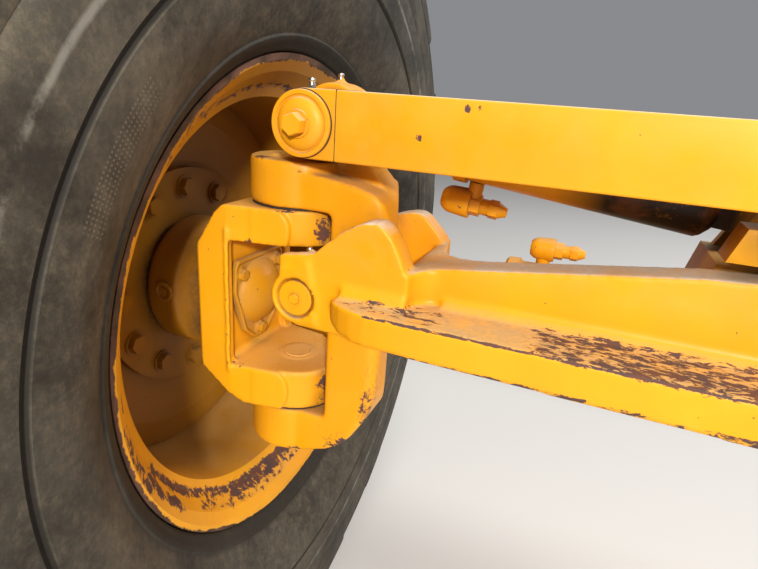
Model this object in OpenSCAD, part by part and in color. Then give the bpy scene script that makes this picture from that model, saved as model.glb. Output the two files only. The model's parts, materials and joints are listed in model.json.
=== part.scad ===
// Motor grader front axle with leaning, steered wheels.
// X runs across the machine, the front of the machine is -Y, +Z is up, millimetres.
// The origin is the centre of the bore on which the axle oscillates.
// A wheel end is drawn for the end at -X: its origin is where kingpin and wheel axis
// cross, its +X points to the middle of the machine. The other end is its mirror image.

/* [Layout] */
// Distance between the middles of the two tyres
track = 2140; // [2040:10:2300]
// Height of the pivot bore above the wheel axis
pivot_rise = 100; // [95:1:115]
// Bore of the pivot bushing
pivot_bore_d = 90; // [70:1:100]
// Outer diameter of the pivot boss
pivot_boss_d = 190; // [180:1:196]
// Length of the pivot boss along Y
pivot_boss_l = 250; // [200:5:270]
// Distance of the lean pins inboard of the kingpin
lean_pin_x = 50; // [48:0.5:54]
// Height of the lower lean pin above the wheel axis
lean_pin_z = 44; // [41:0.5:45]
// Height of the upper lean pin above the wheel axis
bar_pin_z = 260; // [258:0.5:264]

/* [Tyre and wheel] */
// Outer diameter of the tyre
tyre_d = 1370; // [1300:5:1400]
// Width of the tyre across its sidewalls
tyre_w = 375; // [350:1:380]
// Depth of the tread bars
tread_depth = 24; // [15:1:32]
// Bars on each half of the tread
bar_count = 18; // [14:1:20]
// Diameter of the rim over its lips
rim_lip_d = 682; // [676:1:690]
// Width of the rim over its lips
rim_w = 280; // [270:1:290]
// Inner radius of the rim barrel
barrel_r = 285; // [278:1:292]
// Distance from the kingpin out to the inboard rim lip
lip_x = 12; // [10:0.5:16]
// Distance from the kingpin out to the wheel disc
disc_x = 218; // [214:1:224]
// Thickness of the wheel disc
disc_t = 14; // [10:1:18]
// Radius of the hub flange
hub_flange_r = 172; // [166:1:180]
// Radius of the wheel bolt circle
wheel_bolt_r = 144; // [138:1:150]
// Number of wheel bolts
wheel_bolts = 12; // [8:1:14]

/* [Kingpin knuckle] */
// Diameter of the kingpins
kingpin_d = 46; // [40:1:52]
// Outer radius of all kingpin bosses
boss_r = 70; // [66:1:72]
// Height of the outer faces of the knuckle arms above the wheel axis
arm_out = 148; // [145:1:152]
// Height of the inner faces of the knuckle arms above the wheel axis
arm_in = 88; // [87:1:94]
// Distance from the kingpin to the inner face of the knuckle web
web_in = 78; // [74:1:82]
// Distance from the kingpin to the back of the knuckle web
web_out = 133; // [128:1:138]
// Half width of the knuckle web
web_half = 88; // [84:1:92]
// Radius of the spindle housing
housing_r = 100; // [94:1:104]
// Distance of the steering arm ends behind the kingpin
tie_y = 215; // [210:1:222]
// Distance of the steering cylinder stud behind the kingpin
steer_stud_y = 150; // [149:0.5:152]
// Steering angle each way
steer_limit = 35; // [33:0.5:36]

/* [Lean bracket] */
// Gap between kingpin bosses of bracket and knuckle
boss_gap = 2; // [1:0.5:3]
// Height of the upper kingpin boss of the bracket
top_boss_h = 61; // [54:1:62]
// Height of the lower kingpin boss of the bracket
low_boss_h = 70; // [64:1:74]
// Distance from the kingpin to the outboard face of the bracket spine
spine_in = 76; // [76:0.5:80]
// Distance from the kingpin to the inboard face of the bracket spine
spine_out = 157; // [150:1:158]
// Half width of the bracket between the axle ears
spine_half = 62; // [58:0.5:62]
// Radius of the bracket boss round the lower lean pin
lug_r = 38; // [34:0.5:38]
// Radius of the bracket eye round the upper lean pin
neck_r = 49; // [44:0.5:50]
// Front face of the bracket neck along Y
neck_front = -18; // [-19:0.5:-15]
// Rear face of the bracket neck along Y
neck_back = 34; // [32:0.5:35]

/* [Lean bar] */
// Height of the lean bar
bar_h = 80; // [70:1:80]
// Front face of the lean bar along Y
bar_front = -93; // [-95:0.5:-88]
// Rear face of the lean bar along Y
bar_back = -23; // [-28:0.5:-22]
// Diameter of the upper lean pins
bar_pin_d = 44; // [36:1:48]
// Radius of the pin cover discs
cover_r = 39; // [36:0.5:39.5]

/* [Axle beam] */
// Diameter of the lower lean pins
lean_pin_d = 42; // [36:1:46]
// Front face of the front ears along Y
ear_front = -102; // [-104:0.5:-98]
// Rear face of the rear ears along Y
ear_back = 98; // [94:0.5:98]
// Half gap between the ears
ear_gap = 65; // [64.5:0.5:67]
// Radius of the ear eyes
ear_r = 36; // [34:0.5:37]
// Front face of the upright web along Y
web_front = -70; // [-74:1:-66]
// Thickness of the upright web
web_t = 48; // [40:1:56]
// Height of the bottom flange above the wheel axis
flange_z = 12; // [8:1:14]
// Thickness of the bottom flange
flange_t = 48; // [40:1:50]
// Front face of the bottom flange along Y
flange_front = -146; // [-149:1:-138]
// Rear face of the bottom flange along Y
flange_back = 90; // [80:1:95]

/* [Cylinders] */
// Distance of the lean cylinder anchor from the middle of the axle
lean_anchor_x = 330; // [320:1:345]
// Height of the lean cylinder anchor above the wheel axis
lean_anchor_z = 195; // [190:1:198]
// Lean cylinder axis plane along Y
lean_cyl_y = 58; // [57:0.5:60]
// Outer diameter of the lean cylinder
lean_cyl_d = 84; // [76:1:86]
// Diameter of the lean cylinder rod
lean_rod_d = 40; // [36:1:42]
// Distance of the steering cylinder anchors from the middle of the axle
steer_anchor_x = 340; // [330:1:350]
// Radius of the studs of the steering cylinders
stud_tip_r = 7; // [6:0.5:8]
// Outer diameter of the steering cylinders
steer_cyl_d = 64; // [58:1:66]
// Diameter of the steering cylinder rods
steer_rod_d = 36; // [30:1:40]
// Diameter of the tie rod tube
tie_d = 44; // [38:1:48]

/* [Hidden] */

paint = "orange";
steel = "silver";
rubber = "dimgray";
bronze = "peru";

run = 0.05;          // radial running clearance of every pin
face = 0.3;          // gap between flat faces that turn on each other
right = -1;          // the end at -X
left = 1;            // the end at +X

kingpin_x = track / 2 - (lip_x + rim_w / 2);
tyre_mid = -(lip_x + rim_w / 2);
lean_pin_axle_x = kingpin_x - lean_pin_x;
ear_t = -ear_gap - ear_front;
flange_top = flange_z + flange_t;
web_back = web_front + web_t;

// Puts a wheel end, drawn for the -X end, on either end of the axle
module at_end(side) {
    translate([side * kingpin_x, 0, -pivot_rise])
        mirror([side > 0 ? 1 : 0, 0, 0]) children();
}

// A front outline (X, Z) given depth from y0 to y1
module depth(y0, y1) {
    translate([0, y1, 0]) rotate([90, 0, 0]) linear_extrude(y1 - y0) children();
}

// A round bar along Y from y0 to y1 at x, z
module bar_y(x, z, r, y0, y1, fn = 64) {
    translate([x, y1, z]) rotate([90, 0, 0]) cylinder(h = y1 - y0, r = r, $fn = fn);
}

// A round bar along X from x0 to x1
module bar_x(x0, x1, r, fn = 64) {
    translate([x0, 0, 0]) rotate([0, 90, 0]) cylinder(h = x1 - x0, r = r, $fn = fn);
}

// A round bar along Z from z0 to z1
module bar_z(x, y, r, z0, z1, fn = 64) {
    translate([x, y, z0]) cylinder(h = z1 - z0, r = r, $fn = fn);
}

// A hexagon head with its washer, standing on z = 0
module hex_bolt(across, high) {
    cylinder(h = high * 0.25, r = across * 0.72, $fn = 32);
    cylinder(h = high, r = across / 2 / cos(30), $fn = 6);
}

// A grease nipple standing on z = 0, sunk a little into what carries it
module grease_nipple() {
    translate([0, 0, -6]) cylinder(h = 9, r = 6, $fn = 6);
    cylinder(h = 9, r = 3.5, $fn = 24);
    translate([0, 0, 7]) cylinder(h = 4, r1 = 4.5, r2 = 3, $fn = 24);
}

// Points of an arc from a0 to a1 degrees
function arc(cx, cy, r, a0, a1, n = 6) =
    [for (i = [0:n]) let (a = a0 + (a1 - a0) * i / n) [cx + r * cos(a), cy + r * sin(a)]];

/* Axle beam */
fork_end = 185;      // inboard end of the gap between the ears, from the kingpin
block_x = 198;       // inboard end of the full width block behind the ears
web_start = 300;     // where the block has narrowed to the web at the back
web_rise = 165;      // top of the web at the middle
web_low = 108;       // top of the web behind the ears
web_knee = 505;      // where the web top levels out, from the kingpin
web_knee_z = 146;
ledge_start = 103;   // outboard end of the ledge in front of the ear
ledge_nose = 80;     // length over which its front edge curves out
ledge_z = 20;        // underside of the ledge near its outboard end
rear_drop = 16;      // how much lower the hump of the rear ear is

// Outline of an ear from its eye up over the hump and down to the block
module ear_outline(drop = 0) {
    circle(r = ear_r, $fn = 64);
    translate([-lean_pin_x, -lean_pin_z])
        polygon([[lean_pin_x, 6], [24, 58], [26, 86], [47, 86], [75, 108], [88, 120],
                 [108, 137 - 0.5 * drop], [127, 149 - 0.8 * drop], [142, 156 - drop], [156, 157 - drop],
                 [166, 152 - drop], [174, 144 - drop], [184, 128 - 0.6 * drop], [193, 108], [200, 80],
                 [200, flange_z], [120, 4]]);
}

// Front outline of web and block from one end to the middle
module web_outline() {
    polygon([[block_x, flange_z], [block_x, 102], [238, web_low],
             [web_knee, web_knee_z], [kingpin_x - 90, web_rise], [kingpin_x + 1, web_rise],
             [kingpin_x + 1, flange_z]]);
}

// Plan of the web, which grows into the fork block at its outboard end
module web_plan() {
    step = web_front - ear_front;
    polygon(concat(
        [[block_x, ear_front]],
        arc(block_x + 2 + step, ear_front, step, 180, 90),
        [[kingpin_x + 1, web_front], [kingpin_x + 1, web_back], [web_start, web_back]],
        arc(web_start - 20, web_back + 74, 74, 260, 195),
        [[block_x, ear_back]]));
}

// The front ledge, with its rounded nose, and the rear flange in plan
module flange_plan() {
    polygon(concat([[fork_end, ear_back], [fork_end, ear_front]],
                   [for (a = [0:15:90]) [ledge_start + ledge_nose * (1 - cos(a)),
                                         ear_front + (flange_front - ear_front) * sin(a)]],
                   [[kingpin_x + 1, flange_front], [kingpin_x + 1, flange_back],
                    [290, flange_back], [260, ear_back]]));
}

module ledge_outline() {
    polygon([[ledge_start, flange_top - 18], [ledge_start + 8, 32], [ledge_start + 22, 25],
             [ledge_start + 50, ledge_z], [kingpin_x + 1, flange_z - 6],
             [kingpin_x + 1, flange_top], [ledge_start + 10, flange_top], [ledge_start, flange_top - 8]]);
}

// A sloped fillet along X from x0 to x1 in the corner of ledge and upright face
module fillet_strip(x0, x1, y, wide, high) {
    translate([x0, 0, 0]) rotate([90, 0, 90]) linear_extrude(x1 - x0)
        polygon([[y, flange_top - 1], [y - wide, flange_top - 1], [y - wide, flange_top], [y, flange_top + high]]);
}

// One half of the beam: web, ledge and rear flange, from the fork to the middle
module beam_half() {
    intersection() {
        depth(-200, 200) web_outline();
        translate([0, 0, -50]) linear_extrude(400) web_plan();
    }
    difference() {
        intersection() {
            depth(-200, 200) ledge_outline();
            translate([0, 0, -50]) linear_extrude(200) flange_plan();
        }
        translate([fork_end - 1, ear_front, -50]) cube([block_x - fork_end + 1, ear_back - ear_front, 200]);
    }
    fillet_strip(ledge_start + 12, block_x + 2, ear_front, 12, 16);
    fillet_strip(block_x + 6 + web_front - ear_front, kingpin_x + 1, web_front, 12, 12);
}

// Fork at the end of the beam: two ears round the lean pin and the block between them
module axle_fork(side) {
    color(paint) at_end(side) difference() {
        union() {
            translate([lean_pin_x, 0, lean_pin_z]) depth(ear_front, -ear_gap) ear_outline();
            translate([lean_pin_x, 0, lean_pin_z]) depth(ear_gap, ear_back) ear_outline(rear_drop);
            depth(ear_front, ear_back)
                polygon([[fork_end, flange_z], [fork_end, 98], [block_x, 102], [block_x, flange_z]]);
            depth(ear_front, ear_front + 16) polygon([[26, 80], [26, 99], [72, 107], [75, 100]]);
            translate([62, ear_front + 25, 98]) rotate([0, -38, 0]) grease_nipple();
        }
        bar_y(lean_pin_x, lean_pin_z, lean_pin_d / 2, -200, 200);
        bar_y(lean_pin_x, lean_pin_z, lean_pin_d / 2 + 6, -200, ear_front + 6);
        translate([block_x, -200, -50]) cube([100, 400, 300]);
    }
}

anchor_w = 46;       // gap in the clevis for the base eye of the lean cylinder
cheek_t = 14;
steer_lug_t = 16;
steer_eye_w = 34;
steer_cyl_z = lean_pin_z;
steer_cyl_y = round(50 * steer_stud_y * (1 + cos(steer_limit))) / 100;

tower_low = 152;     // top of the tower where the cylinder passes over it

// Tower that carries the base of the lean cylinder, welded behind and on the web
module lean_tower() {
    y1 = lean_cyl_y + anchor_w / 2 + cheek_t;
    color(paint) translate([-lean_anchor_x, 0, -pivot_rise]) difference() {
        union() {
            depth(web_back, y1)
                polygon([[-95, flange_top], [-72, tower_low], [72, tower_low], [95, flange_top]]);
            depth(web_front + 4, web_back)
                polygon([[-74, web_rise], [-62, 200], [62, 200], [74, web_rise]]);
            depth(web_back - 4, lean_cyl_y - anchor_w / 2)
                polygon([[-60, tower_low], [-34, lean_anchor_z - 8], [34, lean_anchor_z - 8], [60, tower_low]]);
            for (y0 = [lean_cyl_y - anchor_w / 2 - cheek_t, lean_cyl_y + anchor_w / 2])
                depth(y0, y0 + cheek_t) {
                    translate([0, lean_anchor_z]) circle(r = 36, $fn = 64);
                    polygon([[-60, tower_low], [-34, lean_anchor_z + 12],
                             [34, lean_anchor_z + 12], [60, tower_low]]);
                }
        }
        bar_y(0, lean_anchor_z, 16, 0, 200);
        translate([0, 0, web_rise - 300]) depth(web_front, web_back) square([400, 600], center = true);
    }
}

// One pair of lugs at the back of the beam for a steering cylinder
module steer_lug_pair() {
    for (y0 = [steer_cyl_y - steer_eye_w / 2 - face - steer_lug_t, steer_cyl_y + steer_eye_w / 2 + face])
        depth(y0, y0 + steer_lug_t) difference() {
            union() {
                translate([0, steer_cyl_z]) circle(r = 28, $fn = 64);
                translate([-28, flange_z]) square([56, steer_cyl_z - flange_z]);
            }
            translate([0, steer_cyl_z]) circle(r = 14 + run, $fn = 64);
        }
    translate([-28, flange_back, flange_z - 8])
        cube([56, steer_cyl_y - flange_back + steer_eye_w / 2 + face + steer_lug_t, 12]);
    translate([-28, flange_back, flange_z])
        cube([56, steer_cyl_y - steer_eye_w / 2 - face - steer_lug_t - flange_back, 40]);
}

module steer_lugs() {
    color(paint) for (side = [right, left])
        translate([side * steer_anchor_x, 0, -pivot_rise]) steer_lug_pair();
}

module axle_beam() {
    color(paint) difference() {
        union() {
            for (side = [right, left]) at_end(side) beam_half();
            bar_y(0, 0, pivot_boss_d / 2, -pivot_boss_l / 2, pivot_boss_l / 2, 96);
        }
        bar_y(0, 0, pivot_bore_d / 2 + 10, -200, 200, 96);
    }
}

module pivot_bushing() {
    color(bronze) difference() {
        bar_y(0, 0, pivot_bore_d / 2 + 10, -pivot_boss_l / 2 - 4, pivot_boss_l / 2 + 4, 96);
        bar_y(0, 0, pivot_bore_d / 2, -200, 200, 96);
    }
}

module lean_anchor_pin() {
    y1 = lean_cyl_y + anchor_w / 2 + cheek_t;
    color(steel) translate([0, 0, -pivot_rise]) {
        bar_y(-lean_anchor_x, lean_anchor_z, 16, lean_cyl_y - anchor_w / 2 - cheek_t - 4, y1);
        bar_y(-lean_anchor_x, lean_anchor_z, 24, y1, y1 + 8);
    }
}

module steer_anchor_pins() {
    y0 = steer_cyl_y - steer_eye_w / 2 - face - steer_lug_t;
    y1 = steer_cyl_y + steer_eye_w / 2 + face + steer_lug_t;
    color(steel) for (side = [right, left]) translate([0, 0, -pivot_rise]) {
        bar_y(side * steer_anchor_x, steer_cyl_z, 14, y0, y1);
        bar_y(side * steer_anchor_x, steer_cyl_z, 21, y1, y1 + 7);
    }
}

module lean_pin(side) {
    color(paint) at_end(side) {
        bar_y(lean_pin_x, lean_pin_z, lean_pin_d / 2, ear_front + 4, ear_back);
        translate([lean_pin_x, ear_front + 4, lean_pin_z]) rotate([90, 0, 0]) hex_bolt(14, 7);
    }
}

/* Lean bracket */
top_boss_z = arm_out + boss_gap;
top_z = top_boss_z + top_boss_h;
low_z = -top_boss_z - low_boss_h;

// Front outline of the bracket: a C-shaped spine with a shoulder just under the reach of the lean bar
module bracket_outline() {
    difference() {
        polygon([[0, low_z], [45, low_z + 3], [spine_out - 77, low_z + 15], [spine_out - 53, low_z + 30],
                 [spine_out - 38, low_z + 48], [spine_out - 21, low_z + 76], [spine_out - 12, low_z + 97],
                 [spine_out - 7, low_z + 120], [spine_out, 60], [spine_out - 1, 130], [spine_out - 3, 148],
                 [spine_out - 10, 170], [spine_out - 23, 182], [106, 190], [64, 196], [29, 198],
                 [8, top_z - 5], [0, top_z - 2]]);
        translate([-100, -top_boss_z]) square([100 + spine_in, 2 * top_boss_z]);
    }
}

// Front outline of the neck that carries the eye for the lean bar
module neck_outline() {
    polygon([[-4, top_boss_z + 10], [spine_out - 12, 166], [spine_out - 23, 182], [112, 206],
             [lean_pin_x + neck_r * cos(15), bar_pin_z + neck_r * sin(15)], [lean_pin_x, bar_pin_z],
             [lean_pin_x - neck_r * cos(28), bar_pin_z - neck_r * sin(28)], [-4, top_z]]);
    translate([lean_pin_x, bar_pin_z]) circle(r = neck_r, $fn = 64);
}

// Plan of the bracket: its spine gets narrower to the back
module spine_plan() {
    polygon([[-200, -spine_half], [spine_out - 14, -spine_half], [spine_out, 14 - spine_half],
             [spine_out, -30], [spine_out - 36, spine_half], [-200, spine_half]]);
}

module lean_bracket(side) {
    color(paint) at_end(side) difference() {
        union() {
            intersection() {
                depth(-spine_half, spine_half) bracket_outline();
                translate([0, 0, -400]) linear_extrude(800) spine_plan();
            }
            intersection() {
                depth(neck_front, neck_back) neck_outline();
                translate([0, 0, -400]) linear_extrude(800) spine_plan();
            }
            bar_z(0, 0, boss_r, top_boss_z, top_z);
            bar_z(0, 0, boss_r, low_z, -top_boss_z);
            bar_y(lean_pin_x, lean_pin_z, lug_r, -spine_half, spine_half);
            translate([lean_pin_x, (neck_front + neck_back) / 2, bar_pin_z + neck_r]) grease_nipple();
            translate([-30, -30, top_z - 2]) cube([22, 12, 6]);
            translate([lean_pin_x, -spine_half, lean_pin_z - lug_r + 8])
                cube([spine_in - lean_pin_x + 4, 2 * spine_half, 2 * lug_r - 16]);
        }
        bar_y(lean_pin_x, lean_pin_z, lean_pin_d / 2 + run, -100, 100);
        bar_y(lean_pin_x, bar_pin_z, bar_pin_d / 2 + run, -100, 100);
        bar_z(0, 0, kingpin_d / 2, top_boss_z - 1, top_z - 14);
        bar_z(0, 0, kingpin_d / 2, low_z - 1, -top_boss_z + 1);
        bar_z(0, 0, kingpin_d / 2 + 9, low_z - 1, low_z + 5);
    }
}

cap_in = 3;          // how deep the caps sit in the bores of the knuckle arms
cap_r = 27;
arm_lift = 12;       // the upper knuckle arm is thinner from below by this
upper_in = arm_in + arm_lift;

module kingpins(side) {
    color(steel) at_end(side) {
        bar_z(0, 0, kingpin_d / 2, upper_in + cap_in + 1, top_z - 14);
        bar_z(0, 0, kingpin_d / 2, low_z, -arm_in - cap_in - 1);
    }
}

/* Knuckle */
cover_plug_r = 55;   // bore of the knuckle web, closed by the bearing cover

module knuckle_outline() {
    polygon([[boss_r, arm_out], [-70, arm_out], [-84, 136], [-106, 100], [-web_out, 64],
             [-web_out, -64], [-112, -100], [-72, -132], [-45, -arm_out], [boss_r, -arm_out]]);
}

// The space inside the yoke, from its web at x inboard
module yoke_space(x) {
    polygon([[boss_r + 1, upper_in], [x + 7, upper_in], [x, upper_in - 7], [x, 6 - arm_in],
             [x + 6, -arm_in], [boss_r + 1, -arm_in]]);
}

// Plan of the yoke: a web with raised front and rear edges and arms that end in a step on their bosses
module yoke_plan() {
    circle(r = boss_r, $fn = 64);
    polygon([[-140, -58], [-113, -web_half], [-web_in + 14, -web_half], [6, -boss_r - 5], [10, -boss_r + 2],
             [10, boss_r - 2], [6, boss_r + 5], [-web_in + 14, web_half], [-113, web_half], [-140, 58]]);
}

module knuckle(side) {
    color(paint) at_end(side) difference() {
        union() {
            difference() {
                intersection() {
                    depth(-web_half, web_half) knuckle_outline();
                    translate([0, 0, -200]) linear_extrude(400) yoke_plan();
                }
                depth(-200, 200) yoke_space(-web_in + 10);
                depth(18 - web_half, web_half - 18) yoke_space(-web_in);
            }
            bar_z(0, 0, cap_r, upper_in - 1.5, upper_in + 1);
            bar_z(0, 0, cap_r, -arm_in - 1, -arm_in + 1.5);
        }
        bar_z(0, 0, kingpin_d / 2 + run, upper_in + cap_in, 200);
        bar_z(0, 0, kingpin_d / 2 + run, -200, -arm_in - cap_in);
        bar_x(-200, 0, cover_plug_r);
    }
}

module spindle_housing(side) {
    color(paint) at_end(side) rotate([0, -90, 0]) rotate_extrude($fn = 72)
        polygon([[40, web_in + 20], [55, web_in + 20], [55, web_out], [64, web_out],
                 [housing_r, web_out + 16], [housing_r, disc_x - 22],
                 [housing_r - 8, disc_x - 14], [40, disc_x - 14]]);
}

// Shield outline of the bearing cover, its first coordinate pointing down
module shield() {
    polygon([[-60, -54], [-52, -62], [-14, -65], [54, -40], [72, -20], [76, -8],
             [76, 8], [72, 20], [54, 40], [-14, 65], [-52, 62], [-60, 54]]);
}

module bearing_cover(side) {
    color(paint) at_end(side) rotate([0, 90, 0]) {
        translate([0, 0, -web_in]) linear_extrude(6) shield();
        translate([0, 0, -web_in]) linear_extrude(10) difference() {
            shield();
            offset(delta = -5) shield();
        }
        rotate_extrude($fn = 64)
            polygon(concat([[0, -web_in - 6], [cover_plug_r - run, -web_in - 6], [cover_plug_r - run, -web_in + 2]],
                           arc(0, -web_in - 28, 62, 32, 90, 8)));
        for (p = [[-38, -47], [-38, 47], [61, 0]]) translate([p[0], p[1], -web_in + 5]) hex_bolt(16, 11);
    }
}

arm_t = 30;          // thickness of the steering arm
arm_top = -17;       // top of the steering arm above the wheel axis
tie_z = -85;         // height of the tie rod above the wheel axis
stud_r = 11;

// Steering arm, bolted to the back of the knuckle web, with the stud for the cylinder
module steering_arm(side) {
    color(paint) at_end(side) difference() {
        union() {
            translate([0, 0, arm_top - arm_t]) linear_extrude(arm_t) union() {
                polygon([[-130, web_half], [-84, web_half], [-32, 124], [24, 130], [30, tie_y],
                         [-30, tie_y], [-58, 176], [-130, 128]]);
                translate([0, tie_y]) circle(r = 30, $fn = 48);
                translate([0, steer_stud_y]) circle(r = 30, $fn = 48);
            }
            translate([-128, web_half, arm_top - arm_t - 20]) cube([46, 20, arm_t + 60]);
            translate([0, steer_stud_y, arm_top]) {
                cylinder(h = 8, r1 = stud_tip_r + 8, r2 = stud_tip_r, $fn = 32);
                cylinder(h = steer_cyl_z - 17 - arm_top, r = stud_tip_r, $fn = 32);
            }
        }
        bar_z(0, tie_y, stud_r + run, arm_top - arm_t - 1, 100);
    }
}

/* Wheel */
disc_gap = 0.01;     // the disc touches hub flange and nuts within this
wheel_stud_r = 10;

module wheel_hub(side) {
    color(paint) at_end(side) {
        rotate([0, -90, 0]) rotate_extrude($fn = 72)
            polygon([[0, web_in + 30], [40 - run, web_in + 30], [40 - run, disc_x - 12],
                     [hub_flange_r, disc_x - 12], [hub_flange_r, disc_x], [96, disc_x],
                     [96, disc_x + disc_t + 14], [88, disc_x + disc_t + 22], [0, disc_x + disc_t + 22]]);
        for (i = [0:wheel_bolts - 1]) rotate([360 / wheel_bolts * i, 0, 0]) translate([0, wheel_bolt_r, 0]) {
            translate([-disc_x + 11, 0, 0]) rotate([0, 90, 0]) hex_bolt(24, 13);
            bar_x(-disc_x - disc_t - 12, -disc_x + 5, wheel_stud_r, 32);
            translate([-disc_x - disc_t - disc_gap, 0, 0]) rotate([0, -90, 0]) hex_bolt(28, 20);
        }
    }
}

lip_r = rim_lip_d / 2;
rim_t = 9;
wall_r = barrel_r + rim_t;      // outside of the rim barrel
well = lip_r - wall_r;          // how far the lips stand above the barrel

// Half section of the rim, radius against distance outboard of the inboard lip
module rim_section() {
    polygon([[lip_r, 0], [lip_r, 10], [lip_r - 0.25 * well, 14], [lip_r - 0.45 * well, 40],
             [wall_r + 0.1 * well, 70], [wall_r, 90], [wall_r, rim_w - 90], [wall_r + 0.1 * well, rim_w - 70],
             [lip_r - 0.45 * well, rim_w - 40], [lip_r - 0.25 * well, rim_w - 14], [lip_r, rim_w - 10],
             [lip_r, rim_w], [lip_r - 8, rim_w - 1], [lip_r - rim_t - 0.28 * well, rim_w - 12],
             [barrel_r + 0.32 * well, rim_w - 36], [barrel_r, rim_w - 46],
             [barrel_r, 46], [barrel_r + 0.32 * well, 36], [lip_r - rim_t - 0.28 * well, 12], [lip_r - 8, 1]]);
}

module rim(side) {
    color(paint) at_end(side) difference() {
        rotate([0, -90, 0]) rotate_extrude($fn = 96) {
            translate([0, lip_x]) rim_section();
            polygon([[97, disc_x + disc_gap], [hub_flange_r + 10, disc_x + disc_gap], [barrel_r - 40, disc_x - 8],
                     [barrel_r + 2, disc_x - 8], [barrel_r + 2, disc_x + 6], [barrel_r - 38, disc_x + 6],
                     [hub_flange_r + 12, disc_x + disc_t], [97, disc_x + disc_t]]);
        }
        for (i = [0:wheel_bolts - 1]) rotate([360 / wheel_bolts * i, 0, 0]) translate([0, wheel_bolt_r, 0])
            bar_x(-disc_x - disc_t - 5, -disc_x + 5, wheel_stud_r + 0.5, 32);
    }
}

tyre_r = tyre_d / 2;

bead_gap = 0.5;      // gap between tyre and rim

// Half section of the tyre, radius against distance from its middle
module tyre_section() {
    half = tyre_w / 2;
    seat = rim_w / 2;
    side = tyre_r - lip_r;      // height of the sidewall and tread
    for (m = [0, 1]) mirror([0, m]) polygon([
        [wall_r + 0.1 * well + bead_gap, -0.5], [wall_r + 0.1 * well + bead_gap, seat - 71],
        [lip_r - 0.45 * well + bead_gap, seat - 41], [lip_r - 0.25 * well + bead_gap, seat - 15],
        [lip_r + bead_gap, seat - 11], [lip_r + 3, seat + 2], [lip_r + 0.045 * side, seat + 14],
        [lip_r + 0.15 * side, half - 16], [lip_r + 0.31 * side, half - 3], [lip_r + 0.47 * side, half],
        [lip_r + 0.65 * side, half - 6], [tyre_r - 62, half - 18], [tyre_r - 34, half - 34],
        [tyre_r - tread_depth - 4, half - 60], [tyre_r - tread_depth, -0.5]]);
}

// Slanted tread bars of one half, from the shoulder towards the middle
module tread_bars() {
    half = tyre_w / 2;
    intersection() {
        rotate_extrude($fn = 96) polygon([
            [tyre_r - tread_depth - 12, -12], [tyre_r - 60, half - 26], [tyre_r - 30, half - 22],
            [tyre_r - 8, half - 34], [tyre_r - 2, half - 60], [tyre_r, -12]]);
        union() for (i = [0:bar_count - 1]) rotate(360 / bar_count * i)
            translate([tyre_r - 40, 0, half / 2]) rotate([28, 0, 0])
                cube([140, 2 * PI * tyre_r / bar_count * 0.42, half * 1.5], center = true);
    }
}

module tyre(side) {
    color(rubber) at_end(side) translate([tyre_mid, 0, 0]) rotate([0, -90, 0]) {
        rotate_extrude($fn = 96) tyre_section();
        tread_bars();
        rotate(180 / bar_count) mirror([0, 0, 1]) tread_bars();
    }
}

/* Lean bar */
bar_z = bar_pin_z - pivot_rise;

module lean_bar() {
    x = lean_pin_axle_x;
    color(paint) difference() {
        union() {
            translate([-x, bar_front, bar_z - bar_h / 2]) cube([2 * x, bar_back - bar_front, bar_h]);
            for (side = [right, left]) bar_y(side * x, bar_z, bar_h / 2, bar_front, bar_back);
        }
        for (side = [right, left]) bar_y(side * x, bar_z, bar_pin_d / 2, -200, 200);
    }
}

// Pin at one end of the lean bar with its domed cover disc and bolt
module lean_bar_pin(side) {
    pin_end = side == right ? neck_back + 20 : neck_back + 6;
    color(paint) at_end(side) {
        bar_y(lean_pin_x, bar_pin_z, bar_pin_d / 2, bar_front, pin_end);
        translate([lean_pin_x, bar_front, bar_pin_z]) rotate([90, 0, 0]) {
            rotate_extrude($fn = 64)
                polygon([[0, 0], [cover_r, 0], [cover_r, 3], [cover_r - 2, 5], [cover_r - 8, 5], [cover_r - 12, 8],
                         [20, 12], [0, 12]]);
            translate([0, 0, 12]) hex_bolt(24, 15);
        }
    }
}

/* Lean cylinder */
rod_eye_r = 40;      // lean rod eye, a cup that hides the end of the pin
rod_eye_play = 11;   // room in the cup for the drift of the eye
lean_dx = lean_pin_axle_x - lean_anchor_x;
lean_dz = bar_pin_z - lean_anchor_z;
lean_len = sqrt(lean_dx * lean_dx + lean_dz * lean_dz);
lean_tilt = atan2(lean_dz, lean_dx);
barrel_end = lean_len - 157;    // end of the lean cylinder tube from its anchor
lean_base = 72;      // start of the tube, clear of the tower
lean_stroke = 68;    // travel of the rod each way

// Puts the lean cylinder, drawn along +X from its anchor, in its place
module at_lean_cylinder() {
    translate([-lean_anchor_x, lean_cyl_y, lean_anchor_z - pivot_rise])
        mirror([1, 0, 0]) rotate([0, -lean_tilt, 0]) children();
}

// Tube, gland and base of a cylinder along +X, hollow for its rod
module barrel(d, rod_d, x0, x1) {
    rotate([0, 90, 0]) rotate_extrude($fn = 64)
        polygon([[0, x0], [d * 0.36, x0], [d / 2 - 3, x0 + 8], [d / 2, x0 + 14], [d / 2, x1 - 22],
                 [d / 2 + 4, x1 - 20], [d / 2 + 4, x1 - 4], [d / 2, x1], [rod_d / 2 + run, x1],
                 [rod_d / 2 + run, x0 + 26], [0, x0 + 26]]);
}

module lean_cylinder_barrel() {
    color(paint) at_lean_cylinder() difference() {
        union() {
            barrel(lean_cyl_d, lean_rod_d, lean_base, barrel_end);
            bar_y(0, 0, 32, -anchor_w / 2 + face, anchor_w / 2 - face);
            translate([0, -anchor_w / 2 + face, -24]) cube([lean_base + 4, anchor_w - 2 * face, 48]);
        }
        bar_y(0, 0, 16 + run, -60, 60);
    }
}

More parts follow.
